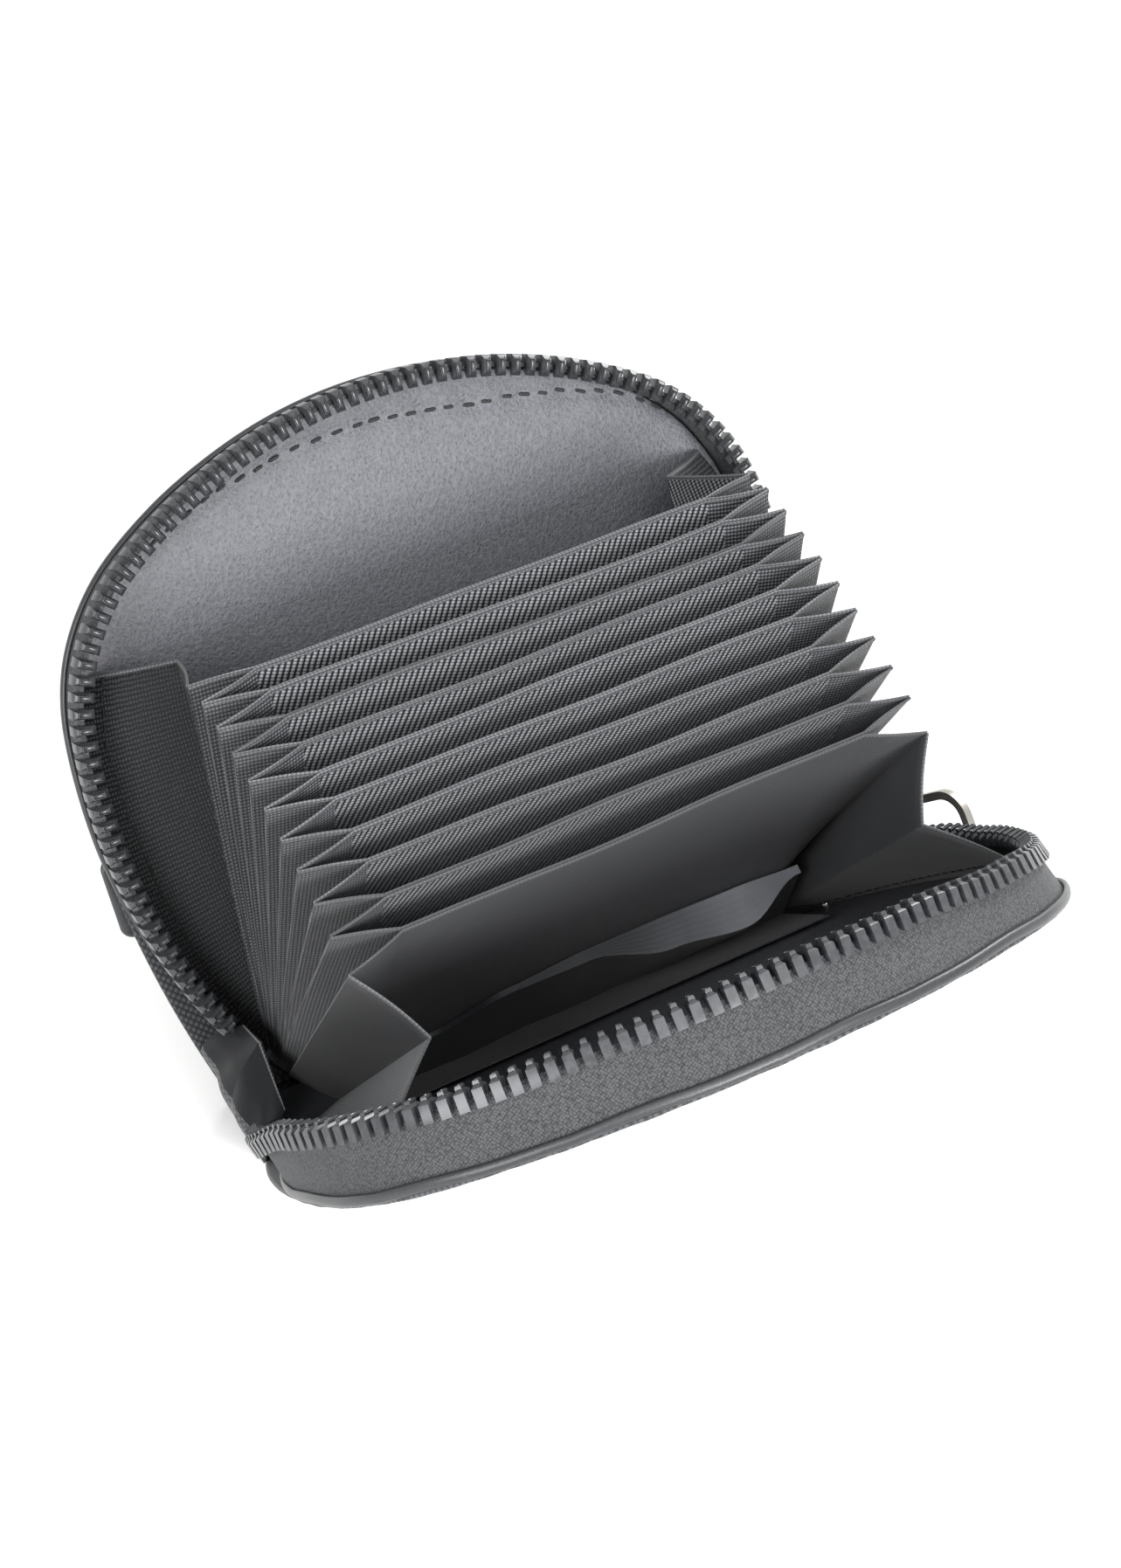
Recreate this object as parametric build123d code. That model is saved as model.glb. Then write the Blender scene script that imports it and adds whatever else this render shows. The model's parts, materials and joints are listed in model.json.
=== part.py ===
from build123d import *
import math
import os

os.makedirs("parts", exist_ok=True)

# Accordion card wallet, standing open on its spine. Millimetres, +Z up, +X along the spine,
# +Y towards the back cover. The origin is the middle of the spine's underside.
# Both covers are drawn closed, upright on either side of the plane Y = 0, and then turned open.

# Driving dimensions
open_half_angle = 38.7  # degrees, each cover from upright
pivot_height = 12.5  # the line that the covers turn about, above the spine's underside
cover_depth = 10.5  # from the zip's meeting plane to a cover's outer face
card_width = 85.6
card_play = 4.4  # the outer folds stand this much further apart than a card is wide

# Chain outline: three tangent arcs a side, seen square to a cover
top_radius = 76.7
top_centre_height = 17.0
side_radius = 82.6
chain_clear_of_folds = 12.1  # at the widest place, outside the pleats' outer folds
side_centre_height = 46.0
corner_radius = 32.0

# Cover layers
shell_thickness = 0.8
board_thickness = 1.6
lining_thickness = 0.8
shell_proud = 1.0  # how far the shell stands outside the chain outline
shell_foot_past_folds = 6.0
lining_inset = 0.7
cover_lower_edge = -3.0  # below the pivot line
edge_round = 0.35

# Zip
tape_thickness = 0.8
tape_top = 1.2  # from the meeting plane
tape_lower_end = 5.4  # above the pivot line
piping_gap = 0.1
piping_width = 0.6
piping_depth = 1.5
tooth_pitch = 2.4
tooth_thickness = 1.0
tooth_head_reach = 1.0  # past the meeting plane, into the other row
tooth_head_half = 1.0
tooth_half = 1.6
tooth_leg_end = 3.0
tooth_shoulder = 0.2
tooth_clearance = 0.05
chain_lower_end = 11.2
stop_length = 2.2
stop_gap = 3.6

# Slider and puller, at the right end of the front chain
slider_length = 7.5
slider_half_width = 3.4
slider_plate = 0.8
slider_clear_of_folds = 0.05
slider_plate_gap = 2.8
slider_foot = -0.5
bridge_height = 3.0
bridge_width = 2.2
bridge_bar = 0.9
puller_length = 35.5
puller_width = 11.0
puller_bar = 1.3
puller_corner = 4.5
puller_eye_length = 6.0
puller_rest_lean = 16.5  # degrees outwards, where it rests on the teeth
running_gap = 0.3

# Spine
spine_thickness = 1.0
spine_half_depth = 8.0
spine_past_folds = 3.5
spine_corner = 4.0
fold_cloth_thickness = 0.6
fold_cloth_bulge = 1.2
fold_cloth_gap = 0.3
end_tab_past_folds = 2.4
end_tab_thickness = 0.6
left_tab_top = 3.2  # above the pivot line
right_tab_top = -3.8  # below the slider
end_tab_half_depth = 4.6

# Accordion
divider_count = 10
fold_reach = 9.0  # from a divider's side edge out to the outer fold
divider_thickness = 0.5
divider_length = 65.2
divider_pitch = 1.22  # at the lower edges
back_divider_foot = 6.3  # forward or back of the pivot line
back_divider_height = 4.6  # lower edge above the pivot line
divider_step_down = 0.66
back_divider_top = 21.4
front_divider_top = -22.7
base_gap = 0.35
base_side_slope_height = -2.0
base_stem_half_depth = 2.2
base_stem_height = -8.0
base_half_depth = 6.55
fold_foot_inset = 1.4  # the outer folds draw in by this much at their feet
gusset_thickness = 0.22
gusset_gap = 0.14
end_fold_beyond = 2.7  # the first and last outer folds stand past the end dividers' tops
end_fold_below = 1.6
back_inner_inset = 4.3  # the end gussets' inner folds, in from the outer folds
front_inner_inset = 6.6
back_inner_share = 0.634  # of the way from an end fold's top to the lining
front_inner_share = 0.46
end_gusset_top_height = 67.0  # along the cover, where the end gussets reach the linings
end_gusset_past_folds = 5.6
end_gusset_foot_inset = 1.0
end_gusset_foot_height = 3.0
end_gusset_clear = 0.3

# Side tab and blank plate
side_tab_length = 13.0
side_tab_reach = 7.0
side_tab_past_chain = 1.0
side_tab_foot = 26.5
side_tab_thickness = 1.2
side_tab_corner = 2.0
plate_length = 30.0
plate_height = 9.0
plate_thickness = 0.9
plate_corner = 2.0
plate_centre_height = 84.0
overrun = 5.0

# Places worked out from these
outer_fold = (card_width + card_play) / 2
divider_half_width = outer_fold - fold_reach
side_widest = outer_fold + chain_clear_of_folds
shell_foot_half_width = outer_fold + shell_foot_past_folds
spine_half_width = outer_fold + spine_past_folds
slider_inner_face = outer_fold + slider_clear_of_folds
side_x = side_widest - side_radius
lining_face = cover_depth - shell_thickness - board_thickness - lining_thickness


def corner_centre():
    """Centre of the corner arc, tangent inside the top arc and the side arc."""
    reach_top = top_radius - corner_radius
    reach_side = side_radius - corner_radius
    dx = side_x
    dz = side_centre_height - top_centre_height
    gap = math.hypot(dx, dz)
    along = (reach_top**2 - reach_side**2 + gap**2) / (2 * gap)
    across = math.sqrt(reach_top**2 - along**2)
    ux, uz = dx / gap, dz / gap
    return (along * ux + across * uz, top_centre_height + along * uz - across * ux)


corner_x, corner_z = corner_centre()


def toward(centre, point, radius):
    """The point at this radius from the centre, on the line through another point."""
    dx, dz = point[0] - centre[0], point[1] - centre[1]
    length = math.hypot(dx, dz)
    return (centre[0] + radius * dx / length, centre[1] + radius * dz / length)


def side_at(height, out):
    """Half width of the chain outline, moved out by a distance, at a height on its side arc."""
    rise = height - side_centre_height
    return side_x + math.sqrt((side_radius + out) ** 2 - rise**2)


def dome(out, foot):
    """Right-hand half of the chain outline moved out: side, corner and top arcs from a height up."""
    side_centre = (side_x, side_centre_height)
    corner = (corner_x, corner_z)
    crown = (0, top_centre_height)
    start = (side_at(foot, out), foot)
    side_top = toward(side_centre, corner, side_radius + out)
    side_mid_height = (foot + side_top[1]) / 2
    side_mid = (side_at(side_mid_height, out), side_mid_height)
    corner_top = toward(crown, corner, top_radius + out)
    middle = ((side_top[0] + corner_top[0]) / 2, (side_top[1] + corner_top[1]) / 2)
    corner_mid = toward(corner, middle, corner_radius + out)
    top = (0, top_centre_height + top_radius + out)
    return start, side_mid, side_top, corner_mid, corner_top, top


def on_cover(point):
    """A point of an outline, in the upright cover's plane."""
    return Vector(point[0], 0, point[1])


def mirrored(point):
    return (-point[0], point[1])


def outline_edges(out, foot):
    """The whole open outline, from the lower right end over the top to the lower left end."""
    start, side_mid, side_top, corner_mid, corner_top, top = dome(out, foot)
    edges = [
        ThreePointArc(on_cover(start), on_cover(side_mid), on_cover(side_top)),
        ThreePointArc(on_cover(side_top), on_cover(corner_mid), on_cover(corner_top)),
        ThreePointArc(on_cover(corner_top), on_cover(top), on_cover(mirrored(corner_top))),
        ThreePointArc(
            on_cover(mirrored(corner_top)), on_cover(mirrored(corner_mid)), on_cover(mirrored(side_top))
        ),
        ThreePointArc(
            on_cover(mirrored(side_top)), on_cover(mirrored(side_mid)), on_cover(mirrored(start))
        ),
    ]
    return edges


def upright_plate(edges, near, far):
    """A flat plate between two depths behind the meeting plane, from a closed outline."""
    return Pos(0, near, 0) * extrude(make_face(edges), far - near, dir=(0, 1, 0))


def cover_plate(out, foot, near, far):
    """A cover layer: the chain outline moved out and closed by a straight lower edge."""
    edges = outline_edges(out, foot)
    start, end = edges[0] @ 0, edges[-1] @ 1
    return upright_plate(edges + [Line(end, start)], near, far)


def shell_plate():
    """The shell's layer, whose sides flare at the spine so that it covers the spine's ends."""
    edges = outline_edges(shell_proud, side_centre_height)
    side_foot = (shell_foot_half_width, cover_lower_edge)
    widest = (side_widest + shell_proud, side_centre_height)
    flare_tangent = (0, 0, -1)
    right = TangentArc(on_cover(widest), on_cover(side_foot), tangent=flare_tangent)
    left = TangentArc(on_cover(mirrored(widest)), on_cover(mirrored(side_foot)), tangent=flare_tangent)
    foot = Line(on_cover(side_foot), on_cover(mirrored(side_foot)))
    plate = upright_plate(edges + [right, left, foot], cover_depth - shell_thickness, cover_depth)
    outer_rim = plate.faces().sort_by(Axis.Y)[-1].edges()
    return fillet(outer_rim, edge_round)


def ring_wall(inner, outer, foot, near, far):
    """A wall along the chain outline, between two offsets and two depths, open at the spine."""
    inner_edges = outline_edges(inner, foot)
    outer_edges = outline_edges(outer, foot)
    right = Line(inner_edges[0] @ 0, outer_edges[0] @ 0)
    left = Line(inner_edges[-1] @ 1, outer_edges[-1] @ 1)
    return upright_plate(inner_edges + outer_edges + [right, left], near, far)


def tooth_section(plane, length, far_leg):
    """One tooth or stop: a head and two legs that hold the tape's edge."""
    slot = tape_thickness / 2 + tooth_clearance
    slot_top = tape_top - tooth_clearance
    points = [
        (-tooth_half, far_leg),
        (-tooth_half, tooth_shoulder),
        (-tooth_head_half, -tooth_head_reach),
        (tooth_head_half, -tooth_head_reach),
        (tooth_half, tooth_shoulder),
        (tooth_half, far_leg),
        (slot, far_leg),
        (slot, slot_top),
        (-slot, slot_top),
        (-slot, far_leg),
    ]
    return extrude(plane * make_face(Polyline(*points, close=True)), length)


def chain_plane(chain, distance, thickness):
    """The plane across the chain at a distance along it, half a tooth back."""
    share = distance / chain.length
    tangent = chain % share
    outward = Vector(tangent.Z, 0, -tangent.X)
    origin = (chain @ share) - tangent * (thickness / 2)
    return Plane(origin=origin, x_dir=outward, z_dir=tangent)


def zip_teeth(stagger):
    """One row of teeth. The rows are half a pitch apart, so they mesh when the covers close."""
    chain = Wire(outline_edges(0, chain_lower_end))
    count = int((chain.length - stop_length) / tooth_pitch)
    spare = chain.length - (count - 1) * tooth_pitch
    first = spare / 2 + stagger * tooth_pitch / 2
    row = []
    for index in range(count - 1):
        plane = chain_plane(chain, first + index * tooth_pitch, tooth_thickness)
        row.append(tooth_section(plane, tooth_thickness, tooth_leg_end))
    return row


def end_stops():
    """The stops below the last teeth, one on each end of the tape."""
    chain = Wire(outline_edges(0, tape_lower_end))
    stops = []
    for distance in (stop_gap + stop_length / 2, chain.length - stop_gap - stop_length / 2):
        plane = chain_plane(chain, distance, stop_length)
        slot = tape_thickness / 2 + tooth_clearance
        slot_top = tape_top - tooth_clearance
        points = [
            (-tooth_half, tooth_leg_end),
            (-tooth_half, tooth_shoulder),
            (tooth_half, tooth_shoulder),
            (tooth_half, tooth_leg_end),
            (slot, tooth_leg_end),
            (slot, slot_top),
            (-slot, slot_top),
            (-slot, tooth_leg_end),
        ]
        stops.append(extrude(plane * make_face(Polyline(*points, close=True)), stop_length))
    return stops


def cover_parts():
    """The layers and the zip side of one cover, upright, on the back side of the meeting plane."""
    shell_inner = cover_depth - shell_thickness
    board_inner = shell_inner - board_thickness
    lining_inner = board_inner - lining_thickness
    piping_inner = tape_thickness / 2 + piping_gap
    return {
        "shell": shell_plate(),
        "board": cover_plate(-lining_inset, cover_lower_edge, board_inner, shell_inner),
        "lining": cover_plate(-lining_inset, cover_lower_edge, lining_inner, board_inner),
        "zip_tape": ring_wall(
            -tape_thickness / 2, tape_thickness / 2, tape_lower_end, tape_top, shell_inner
        ),
        "piping": ring_wall(
            piping_inner,
            piping_inner + piping_width,
            tape_lower_end,
            shell_inner - piping_depth,
            shell_inner,
        ),
        "zip_stops": end_stops(),
    }


def to_pivot(shape):
    """Moves a shape drawn from the pivot line up to its height."""
    return Pos(0, 0, pivot_height) * shape


def open_back(shape):
    return to_pivot(Rot(-open_half_angle, 0, 0) * shape)


def open_front(shape):
    return to_pivot(Rot(open_half_angle, 0, 0) * shape)


def write(name, shapes):
    """One file for each sub-part, with all its solids."""
    if not isinstance(shapes, (list, tuple)):
        shapes = [shapes]
    solids = []
    for shape in shapes:
        solids.extend(shape.solids())
    part = Compound(label=name, children=solids) if len(solids) > 1 else solids[0]
    export_step(part, f"parts/{name}.step")


def write_cover(side, place, turn):
    """Writes a cover's parts, placed on its side and turned open."""
    for name, shapes in cover_parts().items():
        shapes = shapes if isinstance(shapes, list) else [shapes]
        write(f"{side}_{name}", [turn(place(shape)) for shape in shapes])


def as_back(shape):
    return shape


def as_front(shape):
    return mirror(shape, about=Plane.XZ)


def side_tab():
    """Small loop tab, flat against the back shell and sewn in at its left edge."""
    left = -(side_widest + side_tab_past_chain)
    centre = (left + side_tab_reach / 2, side_tab_foot + side_tab_length / 2)
    outline = Pos(*centre) * RectangleRounded(side_tab_reach, side_tab_length, side_tab_corner)
    # The plane XZ faces -Y, so the tab grows from its far face towards the shell
    tab = extrude(Plane.XZ * outline, side_tab_thickness)
    return Pos(0, cover_depth + side_tab_thickness, 0) * tab


def blank_plate():
    """Plain plate on the outside of the front cover."""
    outline = Pos(0, plate_centre_height) * RectangleRounded(plate_length, plate_height, plate_corner)
    plate = extrude(Plane.XZ * outline, plate_thickness)
    return Pos(0, -cover_depth, 0) * plate


def slider_middle():
    return slider_inner_face + slider_plate + slider_plate_gap / 2


def slider_body():
    """Two plates held apart by a neck, astride the end of the front chain."""
    width = 2 * slider_half_width
    middle_height = slider_foot + slider_length / 2
    inner_x = slider_inner_face + slider_plate / 2
    outer_x = inner_x + slider_plate + slider_plate_gap
    inner = Pos(inner_x, 0, middle_height) * Box(slider_plate, width, slider_length)
    outer = Pos(outer_x, 0, middle_height) * Box(slider_plate, width, slider_length)
    neck_length = slider_length / 4
    neck = Pos(slider_middle(), 0, slider_foot + neck_length / 2) * Box(
        slider_plate_gap + slider_plate, slider_half_width, neck_length
    )
    body = inner + neck + outer
    rims = body.edges().filter_by(Axis.X).sort_by(Axis.Z)
    return fillet(rims[-4:], slider_plate / 2)


def slider_outer_face():
    return slider_inner_face + 2 * slider_plate + slider_plate_gap


def bridge_centre():
    """Middle of the bridge's window, which the puller's eye turns in."""
    return (slider_outer_face() + (bridge_height - bridge_bar) / 2, slider_foot + slider_length / 2)


def slider_bridge():
    """Arched bridge on the slider's outer plate."""
    length = slider_length - 2 * bridge_bar
    centre_x, centre_z = bridge_centre()
    outer = Pos(slider_outer_face() + bridge_height / 2, 0, centre_z) * Box(
        bridge_height, bridge_width, length
    )
    window = Pos(slider_outer_face() + (bridge_height - bridge_bar) / 2, 0, centre_z) * Box(
        bridge_height - bridge_bar, bridge_width + 2 * overrun, length - 2 * bridge_bar
    )
    bridge = outer - window
    corners = bridge.edges().filter_by(Axis.Y).group_by(Axis.X)[-1]
    return fillet(corners, bridge_bar / 2)


def puller():
    """Frame-shaped puller with an eye at the slider's end, lying up along the wall."""
    centre_x, centre_z = bridge_centre()
    frame_length = puller_length - puller_eye_length
    eye_width = bridge_width + 2 * (puller_bar + running_gap)
    eye_middle = (puller_eye_length - puller_bar) / 2
    frame_middle = puller_eye_length - puller_bar * 3 / 2 + frame_length / 2

    def loop(length, width, corner, middle):
        rim = RectangleRounded(width, length, corner)
        hole = RectangleRounded(width - 2 * puller_bar, length - 2 * puller_bar, corner - puller_bar)
        flat = Plane.YZ * (Pos(0, middle) * (rim - hole))
        return Pos(-puller_bar / 2, 0, 0) * extrude(flat, puller_bar)

    eye = loop(puller_eye_length, eye_width, eye_width / 2 - puller_bar / 2, eye_middle)
    bar_length = eye_width - 2 * puller_bar
    eye -= Box(2 * puller_bar, bar_length, puller_bar)
    eye += Rot(90, 0, 0) * Cylinder(puller_bar / 2, bar_length)
    frame = loop(frame_length, puller_width, puller_corner, frame_middle)
    return Pos(centre_x, 0, centre_z) * Rot(0, puller_rest_lean, 0) * (eye + frame)


def divider_fan():
    """Foot, foot height and top of each divider, from the back to the front."""
    fan = []
    for index in range(divider_count):
        share = index / (divider_count - 1)
        foot = back_divider_foot - index * divider_pitch
        height = back_divider_height - index * divider_step_down
        top = back_divider_top + share * (front_divider_top - back_divider_top)
        lean = math.asin((top - foot) / divider_length)
        fan.append((foot, height, lean))
    return fan


def divider(foot, height, lean):
    """One flat divider, turned about its lower edge."""
    panel = Pos(0, 0, divider_length / 2) * Box(
        2 * divider_half_width, divider_thickness, divider_length
    )
    return to_pivot(Pos(0, foot, height) * Rot(-math.degrees(lean), 0, 0) * panel)


def divider_edge(foot, height, lean):
    """Lower and upper ends of a divider's side edge, as depth and height."""
    top = (foot + divider_length * math.sin(lean), height + divider_length * math.cos(lean))
    return (foot, height), top


def cloth(low_in, top_in, low_out, top_out, thickness):
    """A thin four-cornered sheet between two edges, thickened along Y."""
    halves = []
    for corners in ((low_in, top_in, top_out), (low_in, top_out, low_out)):
        face = make_face(Polyline(*corners, close=True))
        halves.append(extrude(face, abs(thickness), dir=(0, math.copysign(1, thickness), 0)))
    return halves[0] + halves[1]


def moved(point, by):
    """A point moved along Y."""
    return point + Vector(0, by, 0)


def fold(back_edge, front_edge, tip):
    """A gusset fold: a back leg and a front leg that meet along the outer fold."""
    half = gusset_thickness / 2
    back_leg = cloth(
        moved(back_edge[0], -gusset_gap),
        moved(back_edge[1], -gusset_gap),
        moved(tip[0], half),
        moved(tip[1], half),
        -gusset_thickness,
    )
    front_leg = cloth(
        moved(front_edge[0], gusset_gap),
        moved(front_edge[1], gusset_gap),
        moved(tip[0], -half),
        moved(tip[1], -half),
        gusset_thickness,
    )
    return back_leg + front_leg


def both_sides(shape):
    return [to_pivot(shape), to_pivot(mirror(shape, about=Plane.YZ))]


def open_point(height, depth, side):
    """Depth and height, from the pivot line, of a place on an open cover (side 1 back, -1 front)."""
    angle = math.radians(open_half_angle)
    return (
        side * (height * math.sin(angle) + depth * math.cos(angle)),
        height * math.cos(angle) - depth * math.sin(angle),
    )


def edge_at(half_width, edge):
    """Lower and upper ends of an upright edge at a half width."""
    return tuple(Vector(half_width, *end) for end in edge)


def end_fold_top(divider_top, side):
    """Top of the first or last outer fold, beyond the end divider's top."""
    depth, height = divider_top
    return Vector(outer_fold, depth + side * end_fold_beyond, height - end_fold_below)


def lining_point(height, side):
    """Where an end gusset meets a cover's lining, in the plane across the spine."""
    return Vector(0, *open_point(height, lining_face - end_gusset_clear, side))


def inner_fold(divider_foot, tip_top, half_width, share, side):
    """Lower and upper ends of an end gusset's inner fold, on the way from the tip to the lining."""
    lining_top = lining_point(end_gusset_top_height, side)
    top = tip_top + (lining_top - tip_top) * share
    foot = Vector(half_width, divider_foot[0] + side * divider_pitch, divider_foot[1])
    return foot, Vector(half_width, top.Y, top.Z)


def write_accordion():
    """Dividers, the folds between them and the end gussets that join the fan to the covers."""
    fan = divider_fan()
    for index, place in enumerate(fan):
        write(f"divider_{index + 1:02d}", divider(*place))

    edges = [divider_edge(*place) for place in fan]
    fold_foot = outer_fold - fold_foot_inset
    back_tip = end_fold_top(edges[0][1], 1)
    front_tip = end_fold_top(edges[-1][1], -1)
    back_corner = inner_fold(edges[0][0], back_tip, outer_fold - back_inner_inset, back_inner_share, 1)
    front_corner = inner_fold(
        edges[-1][0], front_tip, outer_fold - front_inner_inset, front_inner_share, -1
    )
    inner = [back_corner]
    inner += [edge_at(divider_half_width + gusset_gap, edge) for edge in edges]
    inner += [front_corner]
    for index in range(divider_count + 1):
        back, front = inner[index], inner[index + 1]
        low, top = (back[0] + front[0]) / 2, (back[1] + front[1]) / 2
        tip_top = Vector(outer_fold, top.Y, top.Z)
        if index == 0:
            tip_top = back_tip
        if index == divider_count:
            tip_top = front_tip
        tip = (Vector(fold_foot, low.Y, low.Z), tip_top)
        write(f"gusset_fold_{index + 1:02d}", both_sides(fold(back, front, tip)))

    write_end_gusset("rear_end_gusset", 1, back_corner)
    write_end_gusset("front_end_gusset", -1, front_corner)


def write_end_gusset(name, side, corner):
    """Cloth from the fan's last inner fold out to a cover's lining."""
    slack = side * (gusset_thickness + gusset_gap)
    foot_out = Vector(outer_fold - end_gusset_foot_inset, 0, 0)
    top_out = Vector(outer_fold + end_gusset_past_folds, 0, 0)
    low = lining_point(end_gusset_foot_height, side) + foot_out
    top = lining_point(end_gusset_top_height, side) + top_out
    panel = cloth(
        moved(corner[0], slack),
        moved(corner[1], slack),
        moved(low, -slack),
        moved(top, -slack),
        side * gusset_thickness,
    )
    write(name, both_sides(panel))


def along_spine(points, half_width):
    """A bar of constant section along the spine."""
    face = Plane.YZ * make_face(Polyline(*points, close=True))
    return to_pivot(Pos(-half_width, 0, 0) * extrude(face, 2 * half_width))


def accordion_base():
    """Strip that the dividers' lower edges are sewn to. Its stem stands on the spine."""
    fan = divider_fan()
    first_foot, first_height, _ = fan[0]
    last_foot, last_height, _ = fan[-1]
    slope = divider_step_down / divider_pitch
    back = base_half_depth
    front = last_foot - base_gap
    back_top = first_height - base_gap + (back - first_foot) * slope - divider_thickness / 2
    front_top = last_height - base_gap - (last_foot - front) * slope - divider_thickness / 2
    floor = spine_thickness - pivot_height
    points = [
        (back, back_top),
        (front, front_top),
        (front, base_side_slope_height + front_top),
        (-base_stem_half_depth, base_stem_height),
        (-base_stem_half_depth, floor),
        (base_stem_half_depth, floor),
        (base_stem_half_depth, base_stem_height),
        (back, base_side_slope_height),
    ]
    return along_spine(points, divider_half_width)


def spine_panel():
    panel = RectangleRounded(2 * spine_half_width, 2 * spine_half_depth, spine_corner)
    return extrude(panel, spine_thickness)


def end_tab(side, top):
    """Cloth that closes an end of the spine between the two zip tapes."""
    floor = spine_thickness - pivot_height
    points = [
        (end_tab_half_depth, floor),
        (end_tab_half_depth, top),
        (-end_tab_half_depth, top),
        (-end_tab_half_depth, floor),
    ]
    tab = along_spine(points, end_tab_thickness / 2)
    top_edges = tab.edges().filter_by(Axis.X).sort_by(Axis.Z)[-2:]
    return Pos(side * (outer_fold + end_tab_past_folds), 0, 0) * fillet(top_edges, end_tab_half_depth / 2)


def spine_fold(side):
    """Cloth that folds between the spine's edge and a cover's lower edge."""
    low = Vector(0, side * (spine_half_depth + fold_cloth_gap), fold_cloth_thickness)
    below_shell = cover_lower_edge - fold_cloth_gap - fold_cloth_thickness
    high = Vector(0, *open_point(below_shell, cover_depth - shell_thickness / 2, side))
    high += Vector(0, 0, pivot_height)
    bulge = (low + high) / 2 + Vector(0, side * fold_cloth_bulge, 0)
    middle_line = ThreePointArc(low, bulge, high)
    half = fold_cloth_thickness / 2
    faces = [cloth_face_arc(middle_line, off) for off in (-half, half)]
    ends = [Line(faces[0] @ end, faces[1] @ end) for end in (0, 1)]
    strip = extrude(make_face(faces + ends), 2 * spine_half_width, dir=(1, 0, 0))
    return Pos(-spine_half_width, 0, 0) * strip


def cloth_face_arc(line, off):
    """An arc beside a line across the spine, at a distance from it."""
    points = []
    for share in (0, 0.5, 1):
        tangent = line % share
        points.append((line @ share) + Vector(0, -tangent.Z, tangent.Y) * off)
    return ThreePointArc(*points)


write_cover("back", as_back, open_back)
write_cover("front", as_front, open_front)
write("back_zip_teeth", [open_back(tooth) for tooth in zip_teeth(0)])
write("front_zip_teeth", [open_front(as_front(tooth)) for tooth in zip_teeth(1)])
write("side_tab", open_back(side_tab()))
write("blank_plate", open_front(blank_plate()))
write("slider_body", open_front(slider_body()))
write("slider_bridge", open_front(slider_bridge()))
write("puller", open_front(puller()))
write_accordion()
write("accordion_base", accordion_base())
write("spine_panel", spine_panel())
write("back_spine_fold", spine_fold(1))
write("front_spine_fold", spine_fold(-1))
write("left_end_tab", end_tab(-1, left_tab_top))
write("right_end_tab", end_tab(1, right_tab_top))
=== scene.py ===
import json
import math
import random

import bmesh
import bpy
from mathutils import Matrix, Vector


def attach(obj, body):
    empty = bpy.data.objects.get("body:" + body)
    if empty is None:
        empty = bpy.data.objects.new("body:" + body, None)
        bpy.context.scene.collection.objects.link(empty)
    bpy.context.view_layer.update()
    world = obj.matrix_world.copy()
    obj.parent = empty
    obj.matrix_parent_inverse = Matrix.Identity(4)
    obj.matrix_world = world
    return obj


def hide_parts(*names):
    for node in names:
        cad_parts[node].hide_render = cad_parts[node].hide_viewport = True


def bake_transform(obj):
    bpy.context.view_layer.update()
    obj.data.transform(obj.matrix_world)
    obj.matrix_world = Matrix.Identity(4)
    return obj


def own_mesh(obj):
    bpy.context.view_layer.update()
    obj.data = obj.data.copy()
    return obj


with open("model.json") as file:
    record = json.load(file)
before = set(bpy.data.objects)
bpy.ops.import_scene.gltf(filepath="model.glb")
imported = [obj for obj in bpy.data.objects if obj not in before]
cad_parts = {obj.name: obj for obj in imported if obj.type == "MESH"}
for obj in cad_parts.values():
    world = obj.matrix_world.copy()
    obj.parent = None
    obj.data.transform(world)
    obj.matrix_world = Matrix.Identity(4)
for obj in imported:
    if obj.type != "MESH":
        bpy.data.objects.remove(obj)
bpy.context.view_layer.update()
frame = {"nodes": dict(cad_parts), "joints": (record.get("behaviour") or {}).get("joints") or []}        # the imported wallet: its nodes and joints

print("frame loaded:", len(frame["nodes"]), "CAD nodes")

# Lengths below are millimetres from the pivot line of the covers, and become metres in the meshes
toMetres = 0.001
hinge = next(joint for joint in frame["joints"] if joint["name"] == "back_cover_hinge")
openAngle = math.radians(hinge["range_deg"][1])  # each cover from upright, as it stands open
pivotHeight = hinge["pos_m"][2] / toMetres
sides = ((1, "back"), (-1, "front"))
dice = random.Random(11)


# Camera, floor and light

photoView = {
    "place": (-0.14024, -0.22854, 0.38913),  # metres, solved from the photograph's straight edges
    "look": (0.33113, 0.53580, -0.77671),
    "up": (0.35598, 0.69138, 0.62870),
    "lens": 68.44,
    "sensor": 36.0,
}


def addCamera(view):
    look = Vector(view["look"]).normalized()
    right = look.cross(Vector(view["up"])).normalized()
    turned = Matrix((right, right.cross(look), -look)).transposed()
    bpy.ops.object.camera_add(location=view["place"], rotation=turned.to_euler())
    camera = bpy.context.object
    camera.data.lens = view["lens"]
    camera.data.sensor_width = view["sensor"]
    camera.data.clip_start = 0.01
    bpy.context.scene.camera = camera


addCamera(photoView)
print("camera placed")


def srgb(colour):
    channels = [int(colour[at:at + 2], 16) / 255 for at in (1, 3, 5)]
    return [c / 12.92 if c <= 0.04045 else ((c + 0.055) / 1.055) ** 2.4 for c in channels] + [1.0]


def addNode(material, kind, settings=None, links=None):
    # A link comes from a node's first output, or from the one named with it
    node = material.node_tree.nodes.new("ShaderNode" + kind)
    for key, value in (settings or {}).items():
        if isinstance(key, int) or key in node.inputs:
            node.inputs[key].default_value = value
        else:
            setattr(node, key, value)
    for key, source in (links or {}).items():
        source, output = source if isinstance(source, tuple) else (source, 0)
        feed(source, node, key, output)
    return node


def feed(source, target, socket, output=0):
    source.id_data.links.new(source.outputs[output], target.inputs[socket])


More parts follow.
